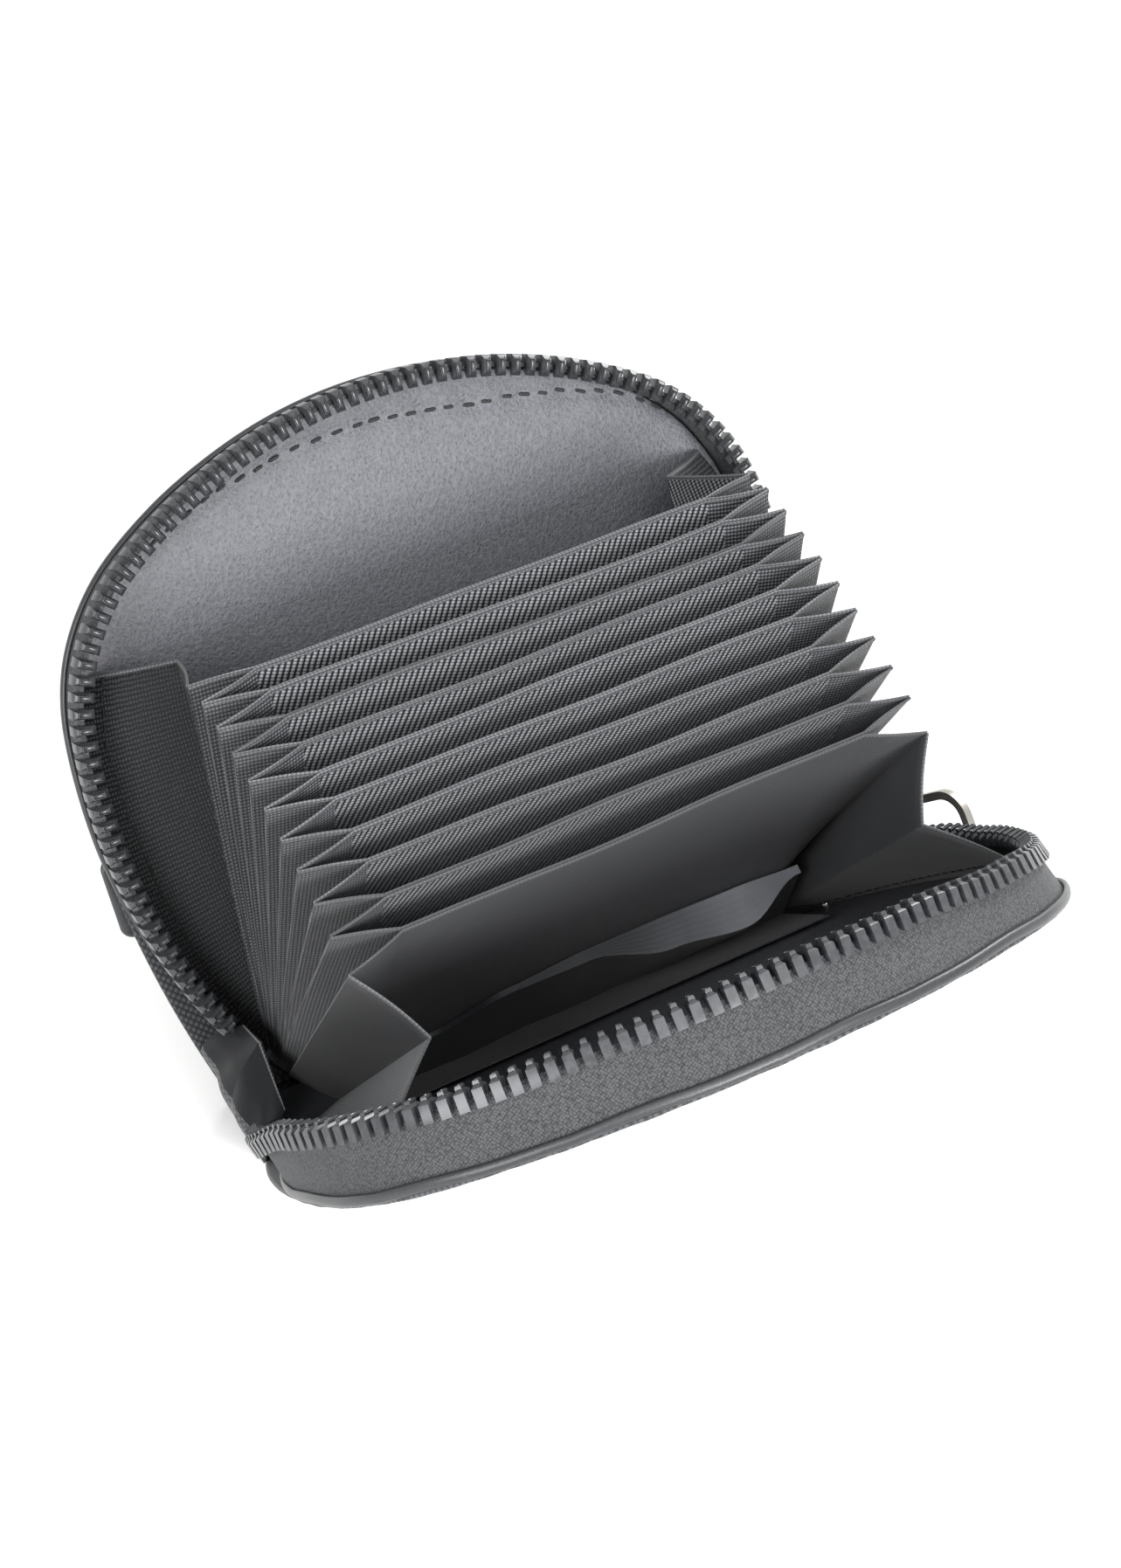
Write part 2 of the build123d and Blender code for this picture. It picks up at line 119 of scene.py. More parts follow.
def startMaterial(name, sockets):
    material = bpy.data.materials.new(name)
    material.use_nodes = True
    shader = material.node_tree.nodes["Principled BSDF"]
    for socket, value in sockets.items():
        shader.inputs[socket].default_value = value
    return material, shader


studio = {
    "floorSize": 1.8,  # metres
    "floorColour": "#f4f4f3",
    "floorGlow": 0.22,  # only the camera, glass and gloss see it
    "worldColour": "#ffffff",
    "worldLight": 0.50,
    # place in metres, size in metres, watts
    "lamps": {
        "keyBox": ((-0.71, -0.30, 0.56), 0.50, 6.7),
        "sheenBox": ((0.10, -0.84, 0.56), 0.36, 9.7),  # where the back lining's left mirrors to the camera
        "rimBox": ((0.70, 0.35, 0.50), 0.45, 8.0),
        "fillBox": ((0.05, -0.45, 0.85), 0.60, 3.0),  # reaches down into the pockets
    },
}


def showTwo(material, lit, seen, output):
    # seen is what the camera, glass and gloss meet, and lit is what every other ray meets
    rays = addNode(material, "LightPath")
    watching = rays
    for kind in ("Is Glossy Ray", "Is Transmission Ray"):
        watching = addNode(material, "Math", {"operation": "MAXIMUM"}, {0: watching, 1: (rays, kind)})
    mixed = addNode(material, "MixShader", None, {0: watching, 1: lit, 2: seen})
    feed(mixed, material.node_tree.nodes[output], "Surface")


def buildStudio(values):
    bpy.ops.mesh.primitive_plane_add(size=values["floorSize"])
    floor = bpy.context.object
    floor.name = "studioFloor"
    material, shader = startMaterial(
        "paintedFloor", {"Base Color": srgb(values["floorColour"]), "Roughness": 0.9}
    )
    glow = addNode(material, "Emission", {"Strength": values["floorGlow"]})
    both = addNode(material, "AddShader", None, {0: shader, 1: glow})
    showTwo(material, shader, both, "Material Output")
    floor.data.materials.append(material)

    world = bpy.data.worlds.new("studioWorld")
    bpy.context.scene.world = world
    world.use_nodes = True
    ambient = world.node_tree.nodes["Background"]
    ambient.inputs["Strength"].default_value = values["worldLight"]
    white = addNode(world, "Background", {"Color": srgb(values["worldColour"]), "Strength": 1.0})
    showTwo(world, ambient, white, "World Output")

    for name, (place, size, watts) in values["lamps"].items():
        aim = (-Vector(place)).to_track_quat("-Z", "Y").to_euler()
        bpy.ops.object.light_add(type="AREA", location=place, rotation=aim)
        lamp = bpy.context.object
        lamp.name = name
        lamp.data.size = size
        lamp.data.energy = watts
    bpy.context.scene.view_settings.view_transform = "Standard"


buildStudio(studio)
print("studio built")


# Finishes. A pattern's sizes are real millimetres, on the cloth's own map or in Object coordinates

waveUnit = math.pi / 10  # a wave texture's period at scale 1
yarnGloss = 0.28  # woven yarn shines less than a solid face of the same polymer


def ownMap(material, turn=0.0):
    cloth = addNode(material, "UVMap", {"uv_map": "cloth"})
    return addNode(material, "Mapping", {"Rotation": (0, 0, math.radians(turn))}, {"Vector": cloth})


def inPlace(material):
    place = addNode(material, "TexCoord")
    perMm = 1 / toMetres
    return addNode(material, "Mapping", {"Scale": (perMm, perMm, perMm)}, {"Vector": (place, "Object")})


def startCloth(name, look):
    return startMaterial(name, {
        "Roughness": look["roughness"], "Sheen Weight": look["sheen"],
        "Specular IOR Level": look.get("gloss", yarnGloss),
    })


def twoTones(material, share, look):
    ends = {"data_type": "RGBA", 6: srgb(look["low"]), 7: srgb(look["high"])}
    return addNode(material, "Mix", ends, {0: share})


def colourAndBump(material, shader, height, look):
    tone = twoTones(material, height, look)
    patches = addNode(
        material, "TexNoise", {"Scale": 1 / look["patchMm"], "Detail": 3.0}, {"Vector": inPlace(material)}
    )
    depth = look["patchDepth"]
    worn = addNode(material, "MapRange", {"To Min": 1 - depth, "To Max": 1 + depth}, {"Value": patches})
    varied = addNode(material, "VectorMath", {"operation": "SCALE"}, {0: (tone, 2), "Scale": worn})
    relief = {"Strength": look["bump"], "Distance": look["reliefMm"] * toMetres}
    feed(varied, shader, "Base Color")
    feed(addNode(material, "Bump", relief, {"Height": height}), shader, "Normal")
    return material


# Polyester twill, woven in steep ribs of short floats that catch the light one by one.
# The floats are 0.33 mm in the photograph, too fine for the render's pixels, so they are 0.5 here
twillLook = {
    "ribMm": 0.92, "floatMm": 0.52, "turn": 22.0, "crisp": 0.55, "low": "#131416", "high": "#999b9f",
    "patchMm": 9.0, "patchDepth": 0.10, "bump": 1.0, "reliefMm": 0.18, "roughness": 0.60, "sheen": 0.08,
    "waver": 0.5,
}
# The same twill on the pleats' legs: its ribs lie along the upper edge, and show less on the outer side
legLook = dict(twillLook, ribMm=0.64, turn=90.0, crisp=0.8, low="#242528", high="#85878c")
outerLegLook = dict(legLook, low="#2f3032", high="#6c6e70", reliefMm=0.10, patchDepth=0.12)
# The last divider faces the big pocket with the twill's close side. The end gussets have the same twill made
# darker, as painted shade for the shade they stand in
closeLook = dict(twillLook, ribMm=0.5, floatMm=0.5, crisp=0.9, low="#2b2c2e", high="#6a6c70", reliefMm=0.06)
gussetTwillPaintedShadeLook = dict(legLook, ribMm=0.72, crisp=0.7, low="#0f1011", high="#3e4043", patchMm=5.0, patchDepth=0.2,
                  waver=2.2)
# The hems are folded over and pressed, so their ribs are close and flat
hemLook = dict(legLook, ribMm=0.45, floatMm=0.6, crisp=0.9, low="#47484a", high="#7c7e81", reliefMm=0.05)
# Bonded polyester sewing thread, two plies twisted, with a dull shine. It is darker than the leather to paint
# the shade in its stitch holes
threadLook = dict(twillLook, ribMm=0.3, floatMm=0.3, turn=35.0, low="#2c2d30", high="#505154", roughness=0.5)
seamLook = dict(threadLook, low="#0e0e0f", high="#232426")


def ribbedTwill(name, look):
    material, shader = startCloth(name, look)
    turned = ownMap(material, look["turn"])
    ribs = addNode(
        material, "TexWave",
        {"Scale": waveUnit / look["ribMm"], "Distortion": look["waver"], "Detail": 1.0, "Detail Scale": 2.0},
        {"Vector": turned},
    )
    floats = addNode(
        material, "TexWave",
        {"Scale": waveUnit / look["floatMm"], "Distortion": 0.4, "bands_direction": "Y"}, {"Vector": turned},
    )
    gaps = addNode(material, "MapRange", {"To Min": 0.25, "To Max": 1.0}, {"Value": (floats, "Fac")})
    product = addNode(material, "Math", {"operation": "MULTIPLY"}, {0: (ribs, "Fac"), 1: gaps})
    weave = addNode(material, "MapRange", {"From Min": 0.06, "From Max": look["crisp"]}, {"Value": product})
    return colourAndBump(material, shader, weave, look)


# Polyester satin lining, woven so fine that it is smooth, with a soft sheen along its folds
satinLook = {
    "threadMm": 0.30, "low": "#26272a", "high": "#4a4c50", "patchMm": 6.0, "patchDepth": 0.22,
    "bump": 0.35, "reliefMm": 0.05, "roughness": 0.44, "sheen": 0.10,
}
# A darker copy of the satin, as painted shade: on the left end's cloth and on the front left far fold
satinPaintedShadeLook = dict(satinLook, low="#17181a", high="#303134", gloss=0.06)
# A lighter copy of the satin with a painted highlight: its crease catches the light towards one end, from
# there to there on the cloth's own map
paintedSheenSatinLook = dict(satinLook, low="#2b2c2f", high="#8b8d93", paintedSheenMm=(4.0, 32.0), bump=0.15,
                       threadShare=0.12)


def fineSatin(name, look):
    material, shader = startCloth(name, look)
    cloth = ownMap(material)
    threads = addNode(
        material, "TexWave",
        {"Scale": waveUnit / look["threadMm"], "Distortion": 1.5, "Detail": 2.0, "bands_direction": "Y"},
        {"Vector": cloth},
    )
    slubs = addNode(material, "TexNoise", {"Scale": 1 / look["threadMm"], "Detail": 4.0}, {"Vector": cloth})
    weave = addNode(material, "Math", {"operation": "MULTIPLY"}, {0: (threads, "Fac"), 1: slubs})
    # A painted highlight where the look has one: lighter from one place to another along the cloth's own map
    if "paintedSheenMm" in look:
        dark, lit = look["paintedSheenMm"]
        split = addNode(material, "SeparateXYZ", None, {"Vector": cloth})
        shine = addNode(
            material, "MapRange", {"From Min": dark, "From Max": lit, "interpolation_type": "SMOOTHSTEP"},
            {"Value": split},
        )
        weave = addNode(
            material, "Math", {"operation": "MULTIPLY_ADD", 1: look["threadShare"]}, {0: weave, 2: shine}
        )
    return colourAndBump(material, shader, weave, look)


# Woven polyester zip tape: matt, with a stippled face of short raised floats
tapeLook = {
    "cellMm": 0.40, "uneven": 0.45, "turn": 35.0, "low": "#2f3032", "high": "#66686a", "patchMm": 8.0,
    "patchDepth": 0.08, "bump": 0.8, "reliefMm": 0.10, "roughness": 0.8, "sheen": 0.08,
}
# Ballistic nylon of the outside: a close basket weave of thick filament yarn, slightly shiny
nylonLook = {
    "cellMm": 0.62, "low": "#28292b", "high": "#5c5e61", "patchMm": 14.0, "patchDepth": 0.10,
    "bump": 0.8, "reliefMm": 0.12, "roughness": 0.55, "sheen": 0.2,
}


def stippledTape(name, look):
    material, shader = startCloth(name, look)
    floats = addNode(
        material, "TexVoronoi", {"Scale": 1 / look["cellMm"], "Randomness": look["uneven"]},
        {"Vector": ownMap(material, look["turn"])},
    )
    falling = {"From Max": 0.75, "To Min": 1.0, "To Max": 0.0}
    raised = addNode(material, "MapRange", falling, {"Value": floats})
    return colourAndBump(material, shader, raised, look)


def basketWeave(name, look):
    material, shader = startCloth(name, look)
    cloth = ownMap(material)
    warp, weft = (
        addNode(material, "TexWave", {"Scale": waveUnit / look["cellMm"] / 2, "bands_direction": direction},
                {"Vector": cloth})
        for direction in "XY"
    )
    crossing = addNode(material, "Math", {"operation": "SUBTRACT"}, {0: (warp, "Fac"), 1: (weft, "Fac")})
    over = addNode(material, "Math", {"operation": "ABSOLUTE"}, {0: crossing})
    return colourAndBump(material, shader, over, look)


# Corrected-grain calf leather: pigmented, pressed with a fine pebble, semi-gloss
leatherLook = {
    "grainMm": 0.60, "low": "#36373c", "high": "#6e6f75", "patchMm": 16.0, "patchDepth": 0.05,
    "bump": 1.0, "reliefMm": 0.16, "roughness": 0.42, "coat": 0.10, "coatRoughness": 0.35,
}
pipingLook = dict(leatherLook, grainMm=0.4, low="#1c1d1f", high="#36383b", bump=0.2, roughness=0.36)
# Bonded leather-fibre board, cut raw: it shows only at the covers' lower edges
boardLook = dict(leatherLook, grainMm=0.8, low="#3b3835", high="#5c5853", patchMm=10.0, patchDepth=0.15,
                 bump=0.5, reliefMm=0.08, roughness=0.9, coat=0.0)


def pebbledLeather(name, look):
    material, shader = startMaterial(name, {
        "Roughness": look["roughness"], "Coat Weight": look["coat"], "Coat Roughness": look["coatRoughness"],
    })
    place = inPlace(material)
    pebbles = addNode(
        material, "TexVoronoi", {"Scale": 1 / look["grainMm"], "feature": "SMOOTH_F1"}, {"Vector": place}
    )
    pores = addNode(material, "TexNoise", {"Scale": 2 / look["grainMm"], "Detail": 3.0}, {"Vector": place})
    grain = addNode(material, "Math", {"operation": "MULTIPLY_ADD", 1: 0.7}, {0: pebbles, 2: pores})
    return colourAndBump(material, shader, grain, look)


# Die-cast zinc: the teeth are lacquered matt grey, the slider is tumbled and plated in gunmetal
lacquerLook = {
    "metal": 0.25, "low": "#313335", "high": "#5a5c5f", "spotMm": 1.1, "smooth": 0.18, "rough": 0.36,
}
gunmetalLook = {
    "metal": 0.8, "low": "#86837f", "high": "#b9b5ae", "spotMm": 3.0, "smooth": 0.34, "rough": 0.46,
}


def castMetal(name, look):
    material, shader = startMaterial(name, {"Metallic": look["metal"]})
    spots = addNode(
        material, "TexNoise", {"Scale": 1 / look["spotMm"], "Detail": 4.0}, {"Vector": inPlace(material)}
    )
    gloss = {"To Min": look["smooth"], "To Max": look["rough"]}
    wear = addNode(material, "MapRange", gloss, {"Value": spots})
    feed(twoTones(material, spots, look), shader, "Base Color", 2)
    feed(wear, shader, "Roughness")
    return material


finishes = {
    "twill": ribbedTwill("wovenPolyesterTwill", twillLook),
    "legTwill": ribbedTwill("foldedPolyesterTwill", legLook),
    "outerLeg": ribbedTwill("pressedPolyesterTwill", outerLegLook),
    "closeTwill": ribbedTwill("closePolyesterTwill", closeLook),
    "gusset": ribbedTwill("polyesterTwillPaintedShade", gussetTwillPaintedShadeLook),
    "hem": ribbedTwill("hemmedPolyesterTwill", hemLook),
    "satin": fineSatin("wovenPolyesterSatin", satinLook),
    "satinPaintedShade": fineSatin("polyesterSatinPaintedShade", satinPaintedShadeLook),
    "paintedSheenSatin": fineSatin("polyesterSatinPaintedSheen", paintedSheenSatinLook),
    "tape": stippledTape("wovenPolyesterTape", tapeLook),
    "nylon": basketWeave("wovenBallisticNylon", nylonLook),
    "leather": pebbledLeather("pressedCalfLeather", leatherLook),
    "piping": pebbledLeather("rolledCalfLeather", pipingLook),
    "lacquer": castMetal("lacqueredCastZinc", lacquerLook),
    "gunmetal": castMetal("tumbledGunmetalZinc", gunmetalLook),
    "board": pebbledLeather("bondedLeatherFibreBoard", boardLook),
    "thread": ribbedTwill("twistedThreadPaintedShade", threadLook),
    "seam": ribbedTwill("blackPolyesterThread", seamLook),
}
print("finishes made:", len(finishes))


# Places on the covers and along the zip

outline = {
    "topRadius": 76.7, "topCentre": 17.0, "sideRadius": 82.6, "sideWidest": 57.1,
    "sideCentre": 46.0, "cornerRadius": 32.0,
}


def steps(count):
    return [index / count for index in range(count + 1)]


def onCover(side, across, depth, height):
    # A place drawn on the closed, upright cover, turned open. side is 1 at the back, -1 at the front
    return Vector((
        across,
        side * (height * math.sin(openAngle) + depth * math.cos(openAngle)),
        height * math.cos(openAngle) - depth * math.sin(openAngle),
    ))


def outlineArcs(foot):
    # The outline from its lower right end to its lower left one, and how long it is
    sideX = outline["sideWidest"] - outline["sideRadius"]
    reachTop = outline["topRadius"] - outline["cornerRadius"]
    reachSide = outline["sideRadius"] - outline["cornerRadius"]
    rise = outline["sideCentre"] - outline["topCentre"]
    gap = math.hypot(sideX, rise)
    part = (reachTop ** 2 - reachSide ** 2 + gap ** 2) / (2 * gap)
    off = math.sqrt(reachTop ** 2 - part ** 2)
    cornerX = (part * sideX + off * rise) / gap
    cornerZ = outline["topCentre"] + (part * rise - off * sideX) / gap
    low = math.asin((foot - outline["sideCentre"]) / outline["sideRadius"])
    first = math.atan2(cornerZ - outline["sideCentre"], cornerX - sideX)
    second = math.atan2(cornerZ - outline["topCentre"], cornerX)
    right = [
        (sideX, outline["sideCentre"], outline["sideRadius"], low, first),
        (cornerX, cornerZ, outline["cornerRadius"], first, second),
    ]
    top = [(0, outline["topCentre"], outline["topRadius"], second, math.pi - second)]
    left = [(-x, z, radius, math.pi - end, math.pi - start) for x, z, radius, start, end in reversed(right)]
    arcs = right + top + left
    return arcs, sum(radius * (end - start) for _, _, radius, start, end in arcs)


def outlinePlace(arcs, distance):
    # Where the outline is after a distance from its lower right end, and its outward angle there
    for arc in arcs:
        x, z, radius, start, end = arc
        length = radius * (end - start)
        if distance <= length or arc is arcs[-1]:
            angle = start + distance / radius
            return x + radius * math.cos(angle), z + radius * math.sin(angle), angle
        distance -= length


def offsetBy(place, out):
    return place[0] + out * math.cos(place[2]), place[1] + out * math.sin(place[2])


# How the soft front wall stands off its flat outline: shares of the chain from its right end
wallWave = {
    "lift": (0.0, 0.3, -0.8, -1.7, -0.5, 1.0, 1.4, 1.1, 0.8, 1.0, 1.0, -1.2, -3.0),
    "lean": (0.0, 0.6, 1.8, 2.3, 1.2, 0.7, 0.6, 0.6, 0.6, 0.5, -0.4, -2.0, -3.0),
    "closedKeep": 0.89,  # how much of its height the wall keeps when the zip is closed
}


def along(values, share):
    # Smooth between evenly spaced values
    at = min(max(share, 0.0), 1.0) * (len(values) - 1)
    first = min(int(at), len(values) - 2)
    part = at - first
    part = part * part * (3 - 2 * part)
    return values[first] * (1 - part) + values[first + 1] * part


def rounded(points, share):
    # Along points with the corners taken off
    reach = min(0.08, share, 1 - share)
    return (along(points, share - reach) + 2 * along(points, share) + along(points, share + reach)) / 4


def between(points, at):
    # Straight between listed (place, value) pairs, and level past them
    for (low, start), (high, end) in zip(points, points[1:]):
        if at <= high:
            return start + (end - start) * (max(at, low) - low) / (high - low)
    return points[-1][1]


def swell(share):
    # Nothing at both ends and 1 at the middle
    return math.sin(math.pi * share)


# Small tools for the pieces

def pick(piece=None):
    if bpy.context.object and bpy.context.object.mode == "EDIT":
        bpy.ops.object.mode_set(mode="OBJECT")
    bpy.ops.object.select_all(action="DESELECT")
    if piece:
        piece.select_set(True)
        bpy.context.view_layer.objects.active = piece


def smooth(piece, degrees=35):
    pick(piece)
    bpy.ops.object.shade_smooth_by_angle(angle=math.radians(degrees))


def bevelEdges(piece, width, segments, degrees):
    bevel = piece.modifiers.new("roundedEdges", "BEVEL")
    bevel.width = width
    bevel.segments = segments
    bevel.angle_limit = math.radians(degrees)
    bpy.ops.object.modifier_apply(modifier="roundedEdges")


def settle(piece, body, materials, nodes=()):
    # A piece without a body is left without a parent
    if piece.data.materials:  # only then, because it makes the faces forget which material they have
        piece.data.materials.clear()
    for material in materials:
        piece.data.materials.append(finishes[material])
    if body:
        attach(piece, body)
    if nodes:
        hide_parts(*nodes)
    return piece


def pressToCover(piece):
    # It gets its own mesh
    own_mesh(piece)


def toRow(point):
    return Vector((point.x, point.y, point.z + pivotHeight)) * toMetres


def newPiece(name, mesh, degrees):
    bmesh.ops.recalc_face_normals(mesh, faces=mesh.faces)
    data = bpy.data.meshes.new(name)
    mesh.to_mesh(data)
    mesh.free()
    piece = bpy.data.objects.new(name, data)
    bpy.context.collection.objects.link(piece)
    smooth(piece, degrees)
    return piece


def clothPiece(name, ups, acrosses, placeAt, halfAt, degrees, finishAt=None):
    # A sheet with real thickness and its own map in millimetres, from its places at all ups and acrosses.
    # halfAt is half its thickness, or gives it for an up.
    # finishAt gives a face's material from its side, 1 or -1, its row and its column
    mesh = bmesh.new()
    cloth = mesh.loops.layers.uv.new("cloth")
    rows = [[placeAt(up, across) for across in acrosses] for up in ups]
    count, width = len(rows), len(rows[0])
    middle = width // 2
    near, far, placeOnMap = [], [], {}
    climb = 0.0
    for row, places in enumerate(rows):
        if row:
            climb += (places[middle] - rows[row - 1][middle]).length
        distances = [0.0]
        for column in range(1, width):
            distances.append(distances[-1] + (places[column] - places[column - 1]).length)
        half = halfAt(ups[row]) if callable(halfAt) else halfAt
        above, below = rows[min(row + 1, count - 1)], rows[max(row - 1, 0)]
        near.append([])
        far.append([])
        for column in range(width):
            sideways = places[min(column + 1, width - 1)] - places[max(column - 1, 0)]
            normal = sideways.cross(above[column] - below[column]).normalized()
            for layer, sign in ((near, 1), (far, -1)):
                vertex = mesh.verts.new(toRow(places[column] + normal * half * sign))
                placeOnMap[vertex] = (distances[column] - distances[middle], climb)
                layer[row].append(vertex)

    def addFace(corners, sign, row, column):
        face = mesh.faces.new(corners)
        if finishAt:
            face.material_index = finishAt(sign, row, column)
        for loop in face.loops:
            loop[cloth].uv = placeOnMap[loop.vert]

    for row in range(count - 1):
        (nearLow, nearHigh), (farLow, farHigh) = near[row:row + 2], far[row:row + 2]
        for at in range(width - 1):
            addFace((nearLow[at], nearLow[at + 1], nearHigh[at + 1], nearHigh[at]), 1, row, at)
            addFace((farLow[at], farHigh[at], farHigh[at + 1], farLow[at + 1]), -1, row, at)
        for at in (0, width - 1):
            addFace((nearLow[at], nearHigh[at], farHigh[at], farLow[at]), 1, row, min(at, width - 2))
    for at in range(width - 1):
        for row in (0, count - 1):
            addFace((near[row][at], near[row][at + 1], far[row][at + 1], far[row][at]), 1, row, at)
    return newPiece(name, mesh, degrees)


def bevelledCopy(node, name, width, segments):
    # The CAD solid's own form with its machined edges rounded
    piece = bpy.data.objects.new(name, frame["nodes"][node].data.copy())
    bpy.context.collection.objects.link(piece)
    pick(piece)
    bpy.ops.object.mode_set(mode="EDIT")
    bpy.ops.mesh.select_all(action="SELECT")
    bpy.ops.mesh.remove_doubles(threshold=0.000002)
    bpy.ops.mesh.dissolve_limited(angle_limit=math.radians(2))
    bpy.ops.object.mode_set(mode="OBJECT")
    bevelEdges(piece, width * toMetres, segments, 30)
    smooth(piece)
    return piece


def boxMap(piece):
    # A map in millimetres for woven pieces that weren't laid out as a sheet
    data = piece.data
    layer = data.uv_layers.new(name="cloth")
    for face in data.polygons:
        flat = max(range(3), key=lambda axis: abs(face.normal[axis]))
        for corner in face.loop_indices:
            place = data.vertices[data.loops[corner].vertex_index].co / toMetres
            layer.data[corner].uv = [place[axis] for axis in range(3) if axis != flat]


# Covers: a nylon shell, a hidden board and a leather lining

covers = {
    "shellInner": 9.7, "shellOuter": 10.5, "shellProud": 0.6, "shellFootHalf": 50.6, "shellRim": 0.45,
    "crown": 0.5, "crownFade": 9.0, "ripple": 0.07, "rippleFade": 4.0,
    "shellShare": 0.86,  # how much of its rectangle the rounded shell takes
    "liningInner": 7.3, "liningOuter": 8.1, "liningInset": 0.7, "liningFootHalf": 40.8, "liningRim": 0.35,
    "foot": -3.0, "stations": 150, "footStations": 40, "rings": 60, "rimRings": 6, "centreHeight": 42.0,
    # how far inside the zip's outline the lining's stitches run, from left to right
    "stitchLine": ((-46.0, 2.0), (-30.0, 3.2), (-15.7, 4.6), (0.0, 5.6), (12.0, 5.9), (21.0, 5.8),
                   (29.0, 4.3), (37.6, 2.5), (44.4, 1.5), (49.0, 1.1)),
    "stitchGroove": 0.32, "stitchGrooveWidth": 0.8, "pucker": 0.14, "puckerWidth": 2.0, "puckerCount": 70,
    "grooveLowest": 40, "stitchLowest": 45, "stitchProud": 0.14,
    "stitchPitch": 3.4, "stitchLength": 2.2, "stitchRadius": 0.30,
}


def coverLoop(out, footHalf):
    # The closed outline of a cover's layer, with its outward angle at each place
    arcs, total = outlineArcs(covers["foot"])
    widest = outline["sideWidest"] + out
    centre = outline["sideCentre"]
    spread = widest - footHalf
    flare = ((centre - covers["foot"]) ** 2 + spread ** 2) / (2 * spread)
    loop = []
    for share in steps(covers["stations"]):
        place = outlinePlace(arcs, total * share)
        across, height = offsetBy(place, out)
        if height < centre:  # the sides flare towards the spine
            reach = widest - flare + math.sqrt(flare ** 2 - (centre - height) ** 2)
            across = math.copysign(reach, across)
            height = max(height, covers["foot"])
        loop.append((across, height, place[2]))
    left = loop[-1][0]
    return loop + [(left * (1 - 2 * share), covers["foot"], -math.pi / 2)
                   for share in steps(covers["footStations"])[1:-1]]


def platePiece(name, side, loop, faceDepth, backDepth, rimRadius):
    # A thin plate on a cover: rings about its middle, with a rounded rim
    mesh = bmesh.new()
    cloth = mesh.loops.layers.uv.new("cloth")
    centre = Vector((0, covers["centreHeight"]))
    onMap = {}

    def ring(share, inset, depthOf):
        line = []
        for across, height, angle in loop:
            flat = Vector((across - inset * math.cos(angle), height - inset * math.sin(angle)))
            flat = centre + (flat - centre) * share
            vertex = mesh.verts.new(toRow(onCover(side, flat.x, depthOf(*flat), flat.y)))
            onMap[vertex] = tuple(flat)
            line.append(vertex)
        return line

    def rimRing(turn):
        # From the face at turn 0 to the back at turn 1
        def depthOf(across, height):
            face, back = faceDepth(across, height), backDepth(across, height)
            return face + (back - face) * (1 - math.cos(turn * math.pi)) / 2
        return ring(1.0, rimRadius * (1 - swell(turn)), depthOf)

    shares = steps(covers["rings"])[1:-1]
    rings = [ring(share, rimRadius, faceDepth) for share in shares]
    rings += [rimRing(turn) for turn in steps(covers["rimRings"])]
    rings += [ring(share, rimRadius, backDepth) for share in reversed(shares)]
    skin(mesh, rings)
    for face in mesh.faces:
        for corner in face.loops:
            corner[cloth].uv = onMap[corner.vert]
    return newPiece(name, mesh, 60)


def skin(mesh, rings):
    # Faces between rings of vertices, and one on the first and the last ring
    count = len(rings[0])
    for first, second in zip(rings, rings[1:]):
        for index in range(count):
            following = (index + 1) % count
            mesh.faces.new((first[index], first[following], second[following], second[index]))
    mesh.faces.new(rings[0])
    mesh.faces.new(rings[-1])


def rimDistance(across, height):
    # How far inside the chain outline a place is, near enough for relief along it
    sideX = outline["sideWidest"] - outline["sideRadius"]
    fromTop = outline["topRadius"] - math.hypot(across, height - outline["topCentre"])
    fromSide = outline["sideRadius"] - math.hypot(abs(across) - sideX, height - outline["sideCentre"])
    return min(fromTop, fromSide)


def buildShell(side, word):
    def outside(across, height):
        inside = max(rimDistance(across, height), 0.0)
        crowned = covers["crown"] * (1 - math.exp(-inside / covers["crownFade"]))
        fade = covers["ripple"] * math.exp(-inside / covers["rippleFade"])
        return covers["shellOuter"] + crowned + fade * math.sin(across * 0.9) * math.cos(height * 0.8)

    loop = coverLoop(covers["shellProud"], covers["shellFootHalf"])
    piece = platePiece(f"{word}ShellCloth", side, loop, lambda across, height: covers["shellInner"], outside,
                       covers["shellRim"])
    settle(piece, f"{word}_cover", ["nylon"], [f"{word}_shell"])


def buildLining(side, word):
    def face(across, height):
        if height <= covers["grooveLowest"]:
            return covers["liningInner"]
        away = rimDistance(across, height) - between(covers["stitchLine"], across)
        groove = covers["stitchGroove"] * math.exp(-(away / covers["stitchGrooveWidth"]) ** 2)
        pucker = covers["pucker"] * math.exp(-(away / covers["puckerWidth"]) ** 2)
        wave = math.sin(math.atan2(across, height) * covers["puckerCount"])
        return covers["liningInner"] + (groove + pucker * wave)

    loop = coverLoop(-covers["liningInset"], covers["liningFootHalf"])
    piece = platePiece(f"{word}LiningLeather", side, loop, face,
                       lambda across, height: covers["liningOuter"], covers["liningRim"])
    settle(piece, f"{word}_cover", ["leather"], [f"{word}_lining"])


def modelStitch(length, radius):
    # One stitch at the origin, along X: a short thread that dives at both ends
    pick()
    bpy.ops.mesh.primitive_cylinder_add(
        vertices=6, radius=radius, depth=length, rotation=(0, math.pi / 2, 0), end_fill_type="TRIFAN"
    )
    stitch = bpy.context.object
    bpy.ops.object.transform_apply(rotation=True)
    bpy.ops.object.mode_set(mode="EDIT")
    for bend in (length * 0.28, -length * 0.28):
        bpy.ops.mesh.select_all(action="SELECT")
        bpy.ops.mesh.bisect(plane_co=(bend, 0, 0), plane_no=(1, 0, 0))
    bpy.ops.object.mode_set(mode="OBJECT")
    for vertex in stitch.data.vertices:
        if abs(vertex.co.x) > length * 0.4:
            vertex.co.y *= 0.5
            vertex.co.z = vertex.co.z * 0.5 - radius * 1.6
    smooth(stitch, 60)
    return stitch


